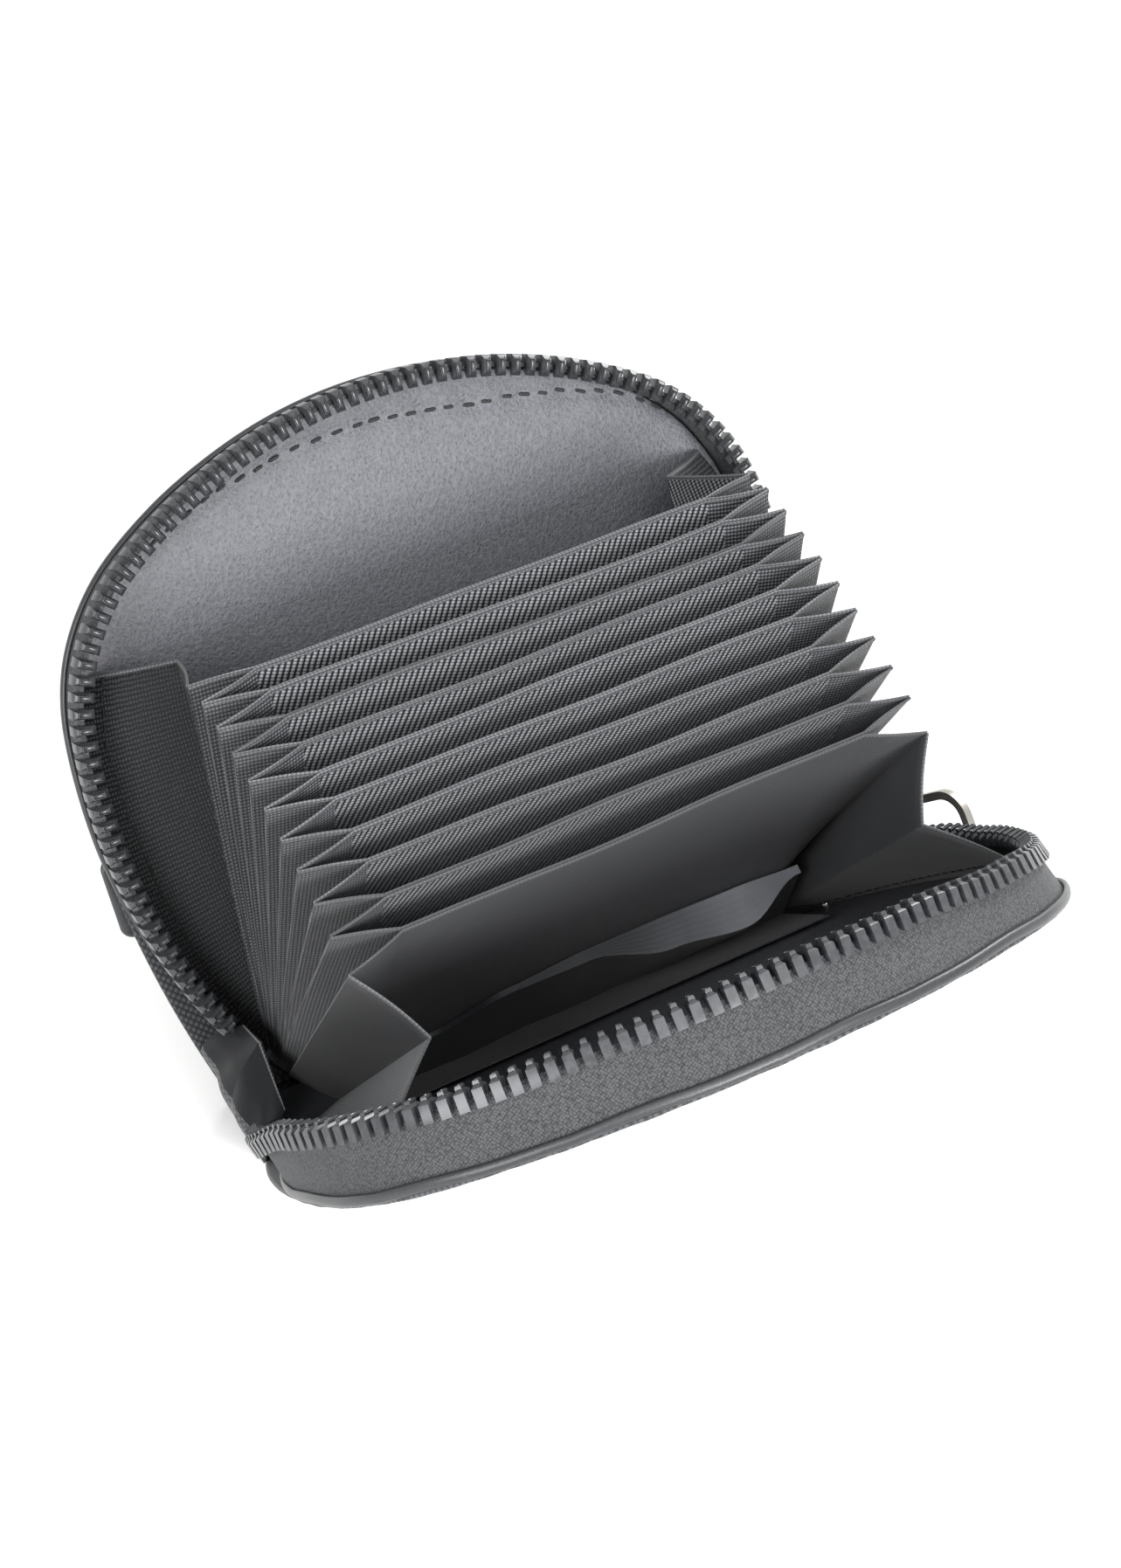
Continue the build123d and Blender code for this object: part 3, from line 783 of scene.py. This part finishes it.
def copyAlong(pattern, name, places):
    # Copies of a pattern, each with its own mesh, set at (place, along, up) and joined as one piece
    copies = []
    for place, forward, up in places:
        up = (up - forward * up.dot(forward)).normalized()
        turned = Matrix((forward, up.cross(forward), up)).transposed().to_4x4()
        copy = pattern.copy()
        copy.data = pattern.data.copy()
        copy.data.transform(
            Matrix.Scale(toMetres, 4) @ Matrix.Translation(place + Vector((0, 0, pivotHeight))) @ turned
        )
        bpy.context.collection.objects.link(copy)
        copies.append(copy)
    pick(copies[0])
    for copy in copies:
        copy.select_set(True)
    bpy.ops.object.join()
    piece = bpy.context.object
    piece.name = name
    return piece


def buildStitches(side, word, stitch):
    # The row that holds the lining to the board, round the top of the cover
    arcs, total = outlineArcs(covers["foot"])
    line = covers["stitchLine"]
    places = []
    distance = 0.0
    while distance < total:
        start = outlinePlace(arcs, distance)
        inset = between(line, start[0]) + dice.uniform(-0.2, 0.2)
        distance += covers["stitchPitch"] + dice.uniform(-0.5, 0.5)
        if not line[0][0] < start[0] < line[-1][0] or start[1] < covers["stitchLowest"]:
            continue
        spots = []
        for place in (start, outlinePlace(arcs, distance)):
            across, height = offsetBy(place, -inset)
            spots.append(onCover(side, across, covers["liningInner"] + covers["stitchProud"], height))
        forward = (spots[1] - spots[0]).normalized()
        tilt = onCover(side, 0, dice.uniform(-0.05, 0.08), 0)
        places.append((spots[0], (forward + tilt).normalized(), -onCover(side, 0, 1, 0)))
    piece = copyAlong(stitch, f"{word}LiningStitches", places)
    boxMap(piece)
    settle(piece, f"{word}_cover", ["thread"])


for side, word in sides:
    buildShell(side, word)
for side, word in sides:
    buildLining(side, word)
stitchPattern = modelStitch(covers["stitchLength"], covers["stitchRadius"])
for side, word in sides:
    buildStitches(side, word, stitchPattern)
    boardMesh = frame["nodes"][f"{word}_board"].data
    boardMesh.materials.clear()
    boardMesh.materials.append(finishes["board"])
print("covers built")


# Zip: a tape wall round each cover, with its piping, teeth and stops

zipper = {
    "tapeTop": 1.2, "tapeFoot": 9.7, "tapeHalf": 0.3, "tapeLowerEnd": 5.4, "tapeRows": 14, "tapeColumns": 260,
    "tapeRipple": 0.16, "tapeRippleMm": 5.3,
    "pipingOut": 0.55, "pipingDepth": 9.45, "pipingAcross": 0.50, "pipingUp": 0.80, "pipingSides": 10,
    "pitch": 2.4, "toothThickness": 0.86, "legThickness": 1.45, "legEnd": 2.7, "shoulder": 0.2,
    "innerLegRise": 1.3, "innerLegNarrow": 0.6,  # the inner legs are short and pointed
    "neck": 0.25, "neckNarrow": 0.42, "headRise": 0.28, "headTaper": (0.92, 0.8),
    "cupRim": 0.2, "cupDepth": 0.4, "toothEdge": 0.12,
    "toothHalf": 1.6, "headHalf": 0.95, "headReach": 0.8, "chainLowerEnd": 11.2,
    "leftMore": {"back": 2, "front": -3},  # teeth at the left end, more or fewer than the slider can reach
    "stopLength": 2.2, "stopRim": 0.4, "stopDip": 0.18, "stopEdge": 0.3, "stopEnds": (4.7, 1.2),
}


def buildTape(side, word):
    arcs, total = outlineArcs(zipper["tapeLowerEnd"])
    foot, top = zipper["tapeFoot"], zipper["tapeTop"]

    def placeAt(share, part):
        distance = total * part
        ripple = zipper["tapeRipple"] * math.sin(distance / zipper["tapeRippleMm"]) * swell(share) ** 2
        return wallPlace(side, arcs, total, distance, ripple, foot + (top - foot) * share)

    piece = clothPiece(f"{word}ZipTape", steps(zipper["tapeRows"]), steps(zipper["tapeColumns"]), placeAt,
                       zipper["tapeHalf"], 50)
    return settle(piece, f"{word}_cover", ["tape"], [f"{word}_zip_tape"])


def wallPlace(side, arcs, total, distance, out, depth):
    # A place on a zip wall, with the front wall's lift and lean fading to nothing at its foot
    if side < 0:
        fade = min(max((zipper["tapeFoot"] - depth) / zipper["tapeFoot"], 0.0), 1.2)
        out -= along(wallWave["lean"], distance / total) * fade
        depth -= along(wallWave["lift"], distance / total) * fade
    across, height = offsetBy(outlinePlace(arcs, distance), out)
    return onCover(side, across, depth, height)


def buildPiping(side, word):
    # A rolled strip of leather between the shell's edge and the tape, a little wavy where it is sewn
    arcs, total = outlineArcs(zipper["tapeLowerEnd"])
    mesh = bmesh.new()
    rings = []
    for share in steps(zipper["tapeColumns"]):
        distance = total * share
        wave = abs(0.22 * math.sin(distance / 9.0 + 0.6) + 0.10 * math.sin(distance / 3.1))
        line = []
        for turn in steps(zipper["pipingSides"])[:-1]:
            angle = 2 * math.pi * turn
            out = zipper["pipingOut"] + zipper["pipingAcross"] * math.cos(angle)
            depth = zipper["pipingDepth"] - wave + zipper["pipingUp"] * math.sin(angle)
            across, height = offsetBy(outlinePlace(arcs, distance), out)
            line.append(mesh.verts.new(toRow(onCover(side, across, depth, height))))
        rings.append(line)
    skin(mesh, rings)
    piece = newPiece(f"{word}PipingLeather", mesh, 60)
    settle(piece, f"{word}_cover", ["piping"], [f"{word}_piping"])


def startCasting(wide, deep):
    # A block from the tape's edge down to where its legs end
    pick()
    bpy.ops.mesh.primitive_cube_add(size=1)
    casting = bpy.context.object
    height = zipper["legEnd"] - zipper["shoulder"]
    for vertex in casting.data.vertices:
        vertex.co.x *= wide
        vertex.co.y *= deep
        vertex.co.z = vertex.co.z * height - zipper["shoulder"] - height / 2
    return casting


def selectFaces(piece, test):
    bpy.ops.object.mode_set(mode="EDIT")
    bpy.ops.mesh.select_mode(type="FACE")
    bpy.ops.object.mode_set(mode="OBJECT")
    for face in piece.data.polygons:
        face.select = test(face)
    bpy.ops.object.mode_set(mode="EDIT")


def modelTooth():
    # One tooth at the origin: X across the tape to its inside, Y along the chain, Z to the other row
    tooth = startCasting(2 * zipper["toothHalf"], zipper["legThickness"])
    for vertex in tooth.data.vertices:
        if vertex.co.x > 0 and vertex.co.z < -zipper["shoulder"] - 1:
            vertex.co.z += zipper["innerLegRise"]
            vertex.co.y *= zipper["innerLegNarrow"]
    selectFaces(tooth, lambda face: face.normal.z > 0.9)
    neck, narrow, headRise = zipper["neck"], zipper["neckNarrow"], zipper["headRise"]
    for rise, wide, thick in (
        (zipper["shoulder"] + neck, zipper["headHalf"] / zipper["toothHalf"], narrow),
        (headRise, 1.0, zipper["toothThickness"] / zipper["legThickness"] / narrow),
        (zipper["headReach"] - (neck + headRise), *zipper["headTaper"]),
    ):
        bpy.ops.mesh.extrude_region_move(TRANSFORM_OT_translate={"value": (0, 0, rise)})
        bpy.ops.transform.resize(value=(wide, thick, 1))
    bpy.ops.mesh.inset(thickness=zipper["cupRim"])
    bpy.ops.transform.translate(value=(0, 0, -zipper["cupDepth"]))
    bpy.ops.object.mode_set(mode="OBJECT")
    bevelEdges(tooth, zipper["toothEdge"], 1, 30)
    smooth(tooth, 40)
    return tooth


def modelStop():
    # A stop is crimped over the tape's cord like a long blind tooth
    stop = startCasting(zipper["stopLength"], 2 * zipper["toothHalf"])
    selectFaces(stop, lambda face: abs(face.normal.y) > 0.9)
    bpy.ops.mesh.inset(thickness=zipper["stopRim"], depth=-zipper["stopDip"])
    bpy.ops.object.mode_set(mode="OBJECT")
    bevelEdges(stop, zipper["stopEdge"], 2, 50)
    smooth(stop, 40)
    return stop


def chainFrame(side, arcs, total, distance):
    # Where a tooth sits on the chain, and the directions along it and towards the other row
    here, ahead, deeper = (wallPlace(side, arcs, total, distance + step, 0.0, depth)
                           for step, depth in ((0, 0.0), (0.05, 0.0), (0, 1.0)))
    return here, (ahead - here).normalized(), (here - deeper).normalized()


def buildTeeth(side, word, tooth):
    arcs, total = outlineArcs(zipper["chainLowerEnd"])
    pitch = zipper["pitch"]
    count = int((total - zipper["stopLength"]) / pitch)
    first = (total - (count - 1) * pitch) / 2
    if side < 0:  # the rows stand half a step apart
        first += pitch / 2
    places = []
    for index in range(count - 1 + zipper["leftMore"][word]):
        here, forward, up = chainFrame(side, arcs, total, first + index * pitch)
        places.append((here, (forward + up * dice.uniform(-0.03, 0.03)).normalized(), up))
    piece = copyAlong(tooth, f"{word}ZipTeeth", places)
    return settle(piece, f"{word}_cover", ["lacquer"], [f"{word}_zip_teeth"])


def buildStops(side, word, stop):
    # The lower right stop is past the slider's reach, the lower left one past the last teeth
    arcs, total = outlineArcs(zipper["tapeLowerEnd"])
    right, left = zipper["stopEnds"]
    places = [chainFrame(side, arcs, total, distance) for distance in (right, total - left)]
    piece = copyAlong(stop, f"{word}ZipStops", places)
    return settle(piece, f"{word}_cover", ["lacquer"], [f"{word}_zip_stops"])


toothPattern = modelTooth()
toothPattern.data.transform(Matrix.Rotation(math.pi / 2, 4, "Z"))  # its thickness lies along the chain
stopPattern = modelStop()
for side, word in sides:
    wall = [buildTape(side, word)]
    buildPiping(side, word)
    wall += [buildTeeth(side, word, toothPattern), buildStops(side, word, stopPattern)]
    toothPattern.data.transform(Matrix.Rotation(math.pi, 4, "Z"))  # the front row's inside is the other way
    if side < 0:  # the front wall's pieces each get their own mesh
        for piece in wall:
            pressToCover(piece)
for pattern in (toothPattern, stopPattern, stitchPattern):
    bpy.data.objects.remove(pattern)
print("zip built")


# Slider, puller, plate, side tab, spine board and the strip that the dividers are sewn to

# CAD node: name, body, slot, finish, edge in mm, and the steps in the edge
hardware = {
    "slider_body": ("sliderCasting", "front_cover", "puller_metal", "gunmetal", 0.28, 3),
    "slider_bridge": ("sliderArch", "front_cover", "puller_metal", "gunmetal", 0.35, 3),
    "puller": ("pullerFrame", "puller", "puller_metal", "gunmetal", 0.45, 4),
    "blank_plate": ("blankPlate", "front_cover", "plate_metal", "gunmetal", 0.25, 3),
    "side_tab": ("sideTabLoop", "back_cover", "piping_leather", "piping", 0.5, 3),
    "spine_panel": ("spinePanelCloth", "spine", "shell_nylon", "nylon", 0.35, 3),
    "accordion_base": ("accordionBaseStrip", "spine", "gusset_cloth", "satin", 0.4, 3),
}
for node, (name, body, slot, finish, edge, segments) in hardware.items():
    piece = bevelledCopy(node, name, edge, segments)
    if finish != "gunmetal":
        boxMap(piece)
    settle(piece, body, [finish], [node])
print("hardware built")


# Accordion: each pocket sheet is a divider's face with the half pleats that it runs into at both ends

fan = {
    "count": 10, "halfWidth": 36.0, "length": 65.2, "pitch": 1.22, "backFoot": 6.3, "backHeight": 4.6,
    "stepDown": 0.66, "backTop": 21.4, "frontTop": -22.7, "outerFold": 45.0, "foldFootInset": 1.4,
    "endBeyond": 2.7, "endBelow": 1.6, "liningFace": 7.3, "gussetClear": 0.3,
    "gussetTop": 67.0, "gussetFoot": 3.0,
    # an end gusset's inner fold: how far out it is, and its share of the way from the pleats to the cover
    "inner": {"rear": (40.7, 0.634), "front": (38.4, 0.46)},
    # where an end gusset is sewn to its cover, measured up the cover and out from its middle
    "gussetEdge": ((3.0, 44.0), (9.4, 47.3), (17.6, 51.0), (26.3, 53.5), (35.0, 55.0), (45.3, 55.9),
                   (56.7, 55.4), (63.0, 53.5), (67.0, 51.5)),
    # Left and right pieces take lighter or darker finishes by how the light falls on each, as painted light
    # and shade: the lit front left gusset takes the lighter hemmed twill
    "gussetFinishPaintedLight": {"rearLeft": "gusset", "rearRight": "gusset", "frontLeft": "hem", "frontRight": "satin"},
    "farFinishPaintedLight": {"rearLeft": "gusset", "rearRight": "twill", "frontLeft": "satinPaintedShade", "frontRight": "satin"},
    "seamPart": 0.77, "seamPitch": 2.3, "seamLength": 1.8, "seamRadius": 0.2, "seamProud": 0.16,
    "slack": 0.03, "farBelly": 0.5, "gussetBelly": 0.8, "farColumns": 10, "gussetColumns": 14,
    # the outer folds are pinched together at their feet: the first one, each next one and the last one
    "pinchFirst": 8.0, "pinchStep": 0.5, "pinchLast": -0.2, "pinchHeight": (-1.0, 1.6),
    "sheetHalf": 0.11, "hemHalf": 0.17, "hemHeight": 0.6, "apart": 0.02,
    "legColumns": 6, "panelColumns": 48, "rows": 22, "waveTop": 0.30, "legBelly": 0.22,
    "closedKeep": 0.25, "farClosedKeep": {"rear": 0.05, "front": 0.10}, "gussetClosedKeep": 0.06,
}
lastDivider = fan["count"] - 1


def fanPlace(index):
    share = index / lastDivider
    foot = fan["backFoot"] - index * fan["pitch"]
    height = fan["backHeight"] - index * fan["stepDown"]
    top = fan["backTop"] + share * (fan["frontTop"] - fan["backTop"])
    return foot, height, math.asin((top - foot) / fan["length"])


def onDivider(index, across, off, up):
    foot, height, lean = fanPlace(index)
    return Vector((
        across,
        foot + up * math.sin(lean) + off * math.cos(lean),
        height + up * math.cos(lean) - off * math.sin(lean),
    ))


def pressToDivider(piece, index, up):
    # It gets its own mesh
    toRow(onDivider(index, 0, 0, up))
    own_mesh(piece)


def liningPoint(side, height):
    return onCover(side, 0, fan["liningFace"] - fan["gussetClear"], height)


def sewnPlace(side, sign, height):
    # Where an end gusset meets its cover's lining; sign is -1 at the left and 1 at the right
    place = liningPoint(side, height)
    place.x = sign * between(fan["gussetEdge"], height)
    return place


def tipTop(fold):
    # Upper end of an outer fold, at the right; fold 0 is behind the first divider
    if fold in (0, fan["count"]):
        side = 1 if fold == 0 else -1
        place = onDivider(min(fold, lastDivider), 0, 0, fan["length"])
        place += Vector((0, side * fan["endBeyond"], -fan["endBelow"]))
    else:
        place = (onDivider(fold - 1, 0, 0, fan["length"]) + onDivider(fold, 0, 0, fan["length"])) / 2
    place.x = fan["outerFold"]
    return place


def tipFoot(fold):
    # Lower end of an outer fold, at the right
    low, high = fan["pinchHeight"]
    place = fan["pinchLast"] if fold == fan["count"] else fan["pinchFirst"] - fold * fan["pinchStep"]
    return Vector((fan["outerFold"] - fan["foldFootInset"], place, low + (high - low) * fold / fan["count"]))


def mirrored(points, sign, away=0.0):
    return tuple(Vector((sign * point.x, point.y + away, point.z)) for point in points)


hemShare = fan["hemHeight"] / fan["length"]
# Even rows, then close ones for the hem and its rounded top
sheetUps = [share * (1 - hemShare * 1.15) for share in steps(fan["rows"])]
sheetUps += [1 - hemShare * part for part in (1, 0.5, 0.12, 0)]


def hemHalf(share):
    if share >= 1.0:
        return fan["hemHalf"] * 0.45
    return fan["hemHalf"] if share >= 1 - hemShare * 1.01 else fan["sheetHalf"]


def pocketSheet(index, side, phases):
    # side 1 is the divider's back face, -1 its front face
    fold = index if side > 0 else index + 1
    last = side < 0 and index == lastDivider
    low, top = tipFoot(fold), tipTop(fold)
    legs, panel = fan["legColumns"], fan["panelColumns"]

    def faceAt(share, across):
        waves = math.sin(across / 13 + phases[0]) + 0.5 * math.sin(across / 5.7 + phases[1])
        sway = fan["waveTop"] * share ** 3 * waves
        dip = 0.30 * share ** 8 * math.sin(across / 19 + phases[2])
        return onDivider(index, across, side * (fan["apart"] + hemHalf(share)) + sway * 0.8,
                         fan["length"] * share + dip)

    def legAt(share, sign, part):
        edge = faceAt(share, sign * fan["halfWidth"])
        tip = low + (top - low) * share
        tip = Vector((sign * tip.x, tip.y - side * (hemHalf(share) + 0.01), tip.z))
        return edge + (tip - edge) * part + Vector((0, side * fan["legBelly"] * swell(part) * share, 0))

    def placeAt(share, column):
        if column < legs:
            return legAt(share, -1, 1 - column / legs)
        column -= legs
        if column > panel:
            return legAt(share, 1, (column - panel) / legs)
        return faceAt(share, fan["halfWidth"] * (2 * column / panel - 1))

    def finishAt(sign, row, column):
        # The near layer of a sheet looks forwards: it is a front sheet's pocket side
        if row > fan["rows"]:
            return 3
        if legs <= column < legs + panel:
            return 0
        return 1 if sign == -side or last else 2

    word = "pocketBack" if side > 0 else "pocketFront"
    body = f"divider_{index + 1:02d}"
    piece = clothPiece(f"{word}_{index + 1:02d}", sheetUps, range(2 * legs + panel + 1), placeAt, hemHalf, 40,
                       finishAt)
    face, leg = ("closeTwill", "closeTwill") if last else ("twill", "legTwill")
    fold = [f"gusset_fold_{index + 1:02d}"] if side > 0 else []
    settle(piece, body, [face, leg, "outerLeg", "hem"], [body] + fold)
    pressToDivider(piece, index, 30)


def facet(name, edges, columns, belly, endAt=None):
    # A sheet between two leaning edges, hemmed at its top; endAt gives a second edge that isn't straight
    (lowA, topA), (lowB, topB) = edges

    def placeAt(share, part):
        start = lowA + (topA - lowA) * share
        end = endAt(share) if endAt else lowB + (topB - lowB) * share
        return start + (end - start) * part + Vector((belly, 0, 0)) * swell(part) * share ** 1.5

    return clothPiece(name, sheetUps, steps(columns), placeAt, hemHalf, 40,
                      lambda sign, row, column: 1 if row > fan["rows"] else 0)


def declareFacet(edges):
    (lowA, topA), (lowB, topB) = edges
    foot, head, start, end = lowB - lowA, topB - topA, topA - lowA, topB - lowB
    area = (foot.cross(start).length + head.cross(end).length) / 2


def buildEndGusset(side, word, cover, sign, hand, dash):
    index = 0 if side > 0 else lastDivider
    fold = 0 if side > 0 else fan["count"]
    tip = (tipFoot(fold), tipTop(fold))
    out, share = fan["inner"][word]
    foot = onDivider(index, out, 0, 0) + Vector((0, side * fan["pitch"], 0))
    head = tip[1] + (liningPoint(side, fan["gussetTop"]) - tip[1]) * share
    head.x = out
    slack = side * fan["slack"]
    inner = mirrored((foot, head), sign)
    edges = (mirrored(tip, sign, slack), inner)
    farFold = facet(f"{word}FarFold{hand}", edges, fan["farColumns"], -sign * fan["farBelly"])
    boxed = [f"gusset_fold_{fan['count'] + 1:02d}"] if side < 0 else []
    settle(farFold, f"divider_{index + 1:02d}", [fan["farFinishPaintedLight"][word + hand], "hem"], boxed)
    declareFacet(edges)
    pressToDivider(farFold, index, 30)

    def sewnAt(share):
        return sewnPlace(side, sign, fan["gussetFoot"] + (fan["gussetTop"] - fan["gussetFoot"]) * share)

    low, top = mirrored((foot, head), sign, slack)
    edges = ((low, top), (sewnAt(0), sewnAt(1)))
    belly = sign * fan["gussetBelly"]
    gusset = facet(f"{word}EndGusset{hand}", edges, fan["gussetColumns"], belly, sewnAt)
    settle(gusset, cover, [fan["gussetFinishPaintedLight"][word + hand], "hem"], [f"{word}_end_gusset"])
    declareFacet(edges)

    # The seam that holds the gusset to the cover shows as dark dashes on it
    def seamAt(share):
        start = low + (top - low) * share
        bulge = belly * swell(fan["seamPart"]) * share ** 1.5
        return start + (sewnAt(share) - start) * fan["seamPart"] + Vector((bulge, 0, 0))

    length = (sewnAt(1) - sewnAt(0)).length
    spots = []
    for step in range(int(length / fan["seamPitch"])):
        share = (step + 0.5) * fan["seamPitch"] / length
        here = seamAt(share)
        forward = seamAt(share + 0.01) - here
        out = forward.cross(sewnAt(share) - here).normalized() * side
        spots.append((here + out * fan["seamProud"], forward.normalized(), out))
    seam = copyAlong(dash, f"{word}GussetSeam{hand}", spots)
    boxMap(seam)
    settle(seam, cover, ["seam"])
    for piece in (gusset, seam):
        pressToCover(piece)


for index in range(fan["count"]):
    phases = [dice.uniform(0, 2 * math.pi) for _ in range(3)]
    pocketSheet(index, 1, phases)
    pocketSheet(index, -1, phases)
seamPattern = modelStitch(fan["seamLength"], fan["seamRadius"])
for side, word, cover in ((1, "rear", "back_cover"), (-1, "front", "front_cover")):
    for sign, hand in ((-1, "Left"), (1, "Right")):
        buildEndGusset(side, word, cover, sign, hand, seamPattern)
bpy.data.objects.remove(seamPattern)
print("accordion built")


# Spine: the cloth that folds between its board and the covers, and the cloth at its ends

spine = {
    "halfWidth": 48.7, "coverHalf": 49.7, "halfDepth": 8.0, "clothHalf": 0.28, "gap": 0.3, "bulge": 1.5,
    "crease": 0.12, "coverFoot": -3.3, "coverDepth": 10.1, "columns": 60, "rows": 10,
    "endX": 47.4, "endRows": 32, "endColumns": 22, "rightFoot": 1.2, "rightTop": -3.6, "rightDip": 0.6,
    "rightBow": 0.8, "rightHalf": 7.5, "rightKeep": 0.75,
    # the left end's cloth from its foot up, at its middle and along both covers
    "leftMiddle": ((-48.7, 0, -11.5), (-52.4, 0.4, -6.0), (-53.0, 1.0, -1.5), (-50.8, 1.0, 5.5),
                   (-47.4, 0.8, 11.8)),
    "left": {
        "back": ((-48.8, 8.1, -11.4), (-51.0, 8.0, -5.5), (-52.8, 11.4, -0.4), (-50.8, 10.2, 4.2),
                 (-47.4, 6.6, 8.4)),
        "front": ((-48.8, -8.1, -11.4), (-51.0, -8.0, -5.5), (-52.8, -11.0, -0.9), (-50.3, -9.2, 1.4),
                  (-47.4, -6.8, 4.1)),
    },
    "leftCrease": 0.25, "nylonShare": 0.56,
}


def buildSpineFold(side, word):
    low = Vector((0, side * (spine["halfDepth"] + spine["gap"]), -pivotHeight + 2 * spine["clothHalf"]))
    high = onCover(side, 0, spine["coverDepth"], spine["coverFoot"])

    def placeAt(share, part):
        middle = low + (high - low) * share
        half = spine["halfWidth"] + (spine["coverHalf"] - spine["halfWidth"]) * share
        across = half * (2 * part - 1)
        out = (spine["bulge"] + spine["crease"] * math.sin(across / 3.7 + 2 * share)) * swell(share)
        return Vector((across, middle.y + side * out, middle.z))

    piece = clothPiece(f"{word}SpineFoldCloth", steps(spine["rows"]), steps(spine["columns"]), placeAt,
                       spine["clothHalf"], 50)
    settle(piece, None, ["nylon"], [f"{word}_spine_fold"])
    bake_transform(piece)


def buildRightEnd():
    # The right end's satin lies low, under the parked slider
    def placeAt(share, part):
        part = 2 * part - 1
        arch = 1 - part ** 2
        foot = spine["rightFoot"] - pivotHeight
        height = foot + (spine["rightTop"] - foot - spine["rightDip"] * arch) * share
        bow = spine["rightBow"] * swell(share) * arch
        return Vector((spine["endX"] + bow, part * spine["rightHalf"], height))

    piece = clothPiece("rightEndCloth", steps(spine["endRows"]), steps(spine["endColumns"]), placeAt,
                       lambda up: 0.30 if up > 0.9 else 0.2, 50)
    settle(piece, "spine", ["satin"], ["right_end_tab"])
    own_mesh(piece)


def buildLeftEnd(word):
    # The left end's cloth bulges out between the covers' edges, in one half by each cover:
    # nylon up to the bulge, then satin up to its hem by the tapes' ends
    rows = spine["endRows"]
    middleKnots, outerKnots = ([Vector(knot) for knot in knots] for knots in
                               (spine["leftMiddle"], spine["left"][word]))

    def placeAt(share, part):
        middle, outer = rounded(middleKnots, share), rounded(outerKnots, share)
        crease = spine["leftCrease"] * math.sin(9 * part + 5 * share) * swell(share)
        return middle + (outer - middle) * part + Vector((crease, 0, 0))

    def finishAt(sign, row, column):
        if row < rows * spine["nylonShare"]:
            return 2
        return 1 if row >= rows - 1 else 0

    piece = clothPiece(f"leftEndCloth{word.capitalize()}", steps(rows), steps(spine["endColumns"]), placeAt,
                       lambda up: 0.2 if up > 0.95 else 0.14, 60, finishAt)
    # Its satin is the darker copy of the satin, painted shade
    settle(piece, None, ["satinPaintedShade", "hem", "nylon"], ["left_end_tab"])
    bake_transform(piece)


floorCloths = {
    "leftEnd": -37.6, "rightEnd": 37.9, "columns": 60, "rows": 48, "half": 0.12,
    "seam": (8.0, 13.0, 19.0, 21.5, 21.5, 20.5, 18.4),  # up the last divider, from left to right
    "ridge": (0.4, 0.6, 0.8, 1.6, 4.6, 5.8, 1.2),  # how far the cloth comes forward there
    # from this share across, the cloth by the seam takes the satin with the painted highlight
    "paintedSheenFrom": 0.52, "flatLength": 0.037,
    "ridgeDrop": 0.42, "tuck": (1.6, -3.2), "trough": (-8.6, 0.4), "liningTop": 24.0, "off": 0.9,
    "sag": 0.5, "crease": 0.9, "closedKeep": 0.12,
    # the small floors outside the end gussets: across, then depth and height at their back and front
    "sideInner": 28.0, "sideOuter": {"Left": 46.9, "Right": 44.4}, "sideBack": (-0.6, -1.2),
    "sideFront": (-10.3, 1.7), "sideRows": 12, "sideSag": 0.5,
}


def buildSideFloor(sign, hand):
    # Satin between the spine and the front cover, beyond the end gussets
    inner, outer = floorCloths["sideInner"], floorCloths["sideOuter"][hand]
    back, front = Vector((0, *floorCloths["sideBack"])), Vector((0, *floorCloths["sideFront"]))

    def placeAt(share, part):
        place = back + (front - back) * share
        return Vector((sign * (inner + (outer - inner) * part), place.y,
                       place.z - floorCloths["sideSag"] * swell(share) * swell(part)))

    ends = steps(floorCloths["sideRows"])
    piece = clothPiece(f"floorCloth{hand}", ends, ends, placeAt, floorCloths["half"], 60)
    settle(piece, None, ["satin"])
    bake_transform(piece)


def buildFloorCloth():
    # The big pocket's loose satin floor: it comes forward from the last divider to a folded ridge,
    # drops under it to a trough and goes up on the front lining
    leftEnd, wide = floorCloths["leftEnd"], floorCloths["rightEnd"] - floorCloths["leftEnd"]
    troughDepth, troughHeight = floorCloths["trough"]

    def placeAt(share, part):
        across = leftEnd + wide * part
        start = onDivider(lastDivider, across, -0.6, along(floorCloths["seam"], part))
        reach = along(floorCloths["ridge"], part)
        ridge = start + Vector((0, -reach, -floorCloths["ridgeDrop"] * reach))
        tuck = ridge + Vector((0, *floorCloths["tuck"])) * min(reach / 4, 1)
        sag = floorCloths["sag"] * math.sin(across / 9.0) * math.sin(across / 4.1)
        trough = Vector((across, troughDepth, troughHeight + part + sag))
        end = onCover(-1, across, fan["liningFace"] - floorCloths["off"], floorCloths["liningTop"])
        crease = math.exp(-((share - 0.52 + 0.22 * part) / 0.05) ** 2) * swell(part) * floorCloths["crease"]
        return along((start, ridge, tuck, trough, end), share) + Vector((0, -0.3 * crease, 0.9 * crease))

    def finishAt(sign, row, column):
        # Near the seam and on the right part, the cloth takes the satin with the painted highlight
        lit = row < floorCloths["rows"] / 4 and column > floorCloths["paintedSheenFrom"] * floorCloths["columns"]
        return 1 if lit else 0

    piece = clothPiece("frontFloorCloth", steps(floorCloths["rows"]), steps(floorCloths["columns"]), placeAt,
                       floorCloths["half"], 60, finishAt)
    settle(piece, "divider_10", ["satin", "paintedSheenSatin"])
    pressToDivider(piece, lastDivider, 10)


for side, word in sides:
    buildSpineFold(side, word)
buildRightEnd()
for side, word in sides:
    buildLeftEnd(word)
buildFloorCloth()
for sign, hand in ((-1, "Left"), (1, "Right")):
    buildSideFloor(sign, hand)
print("spine built")

pick()
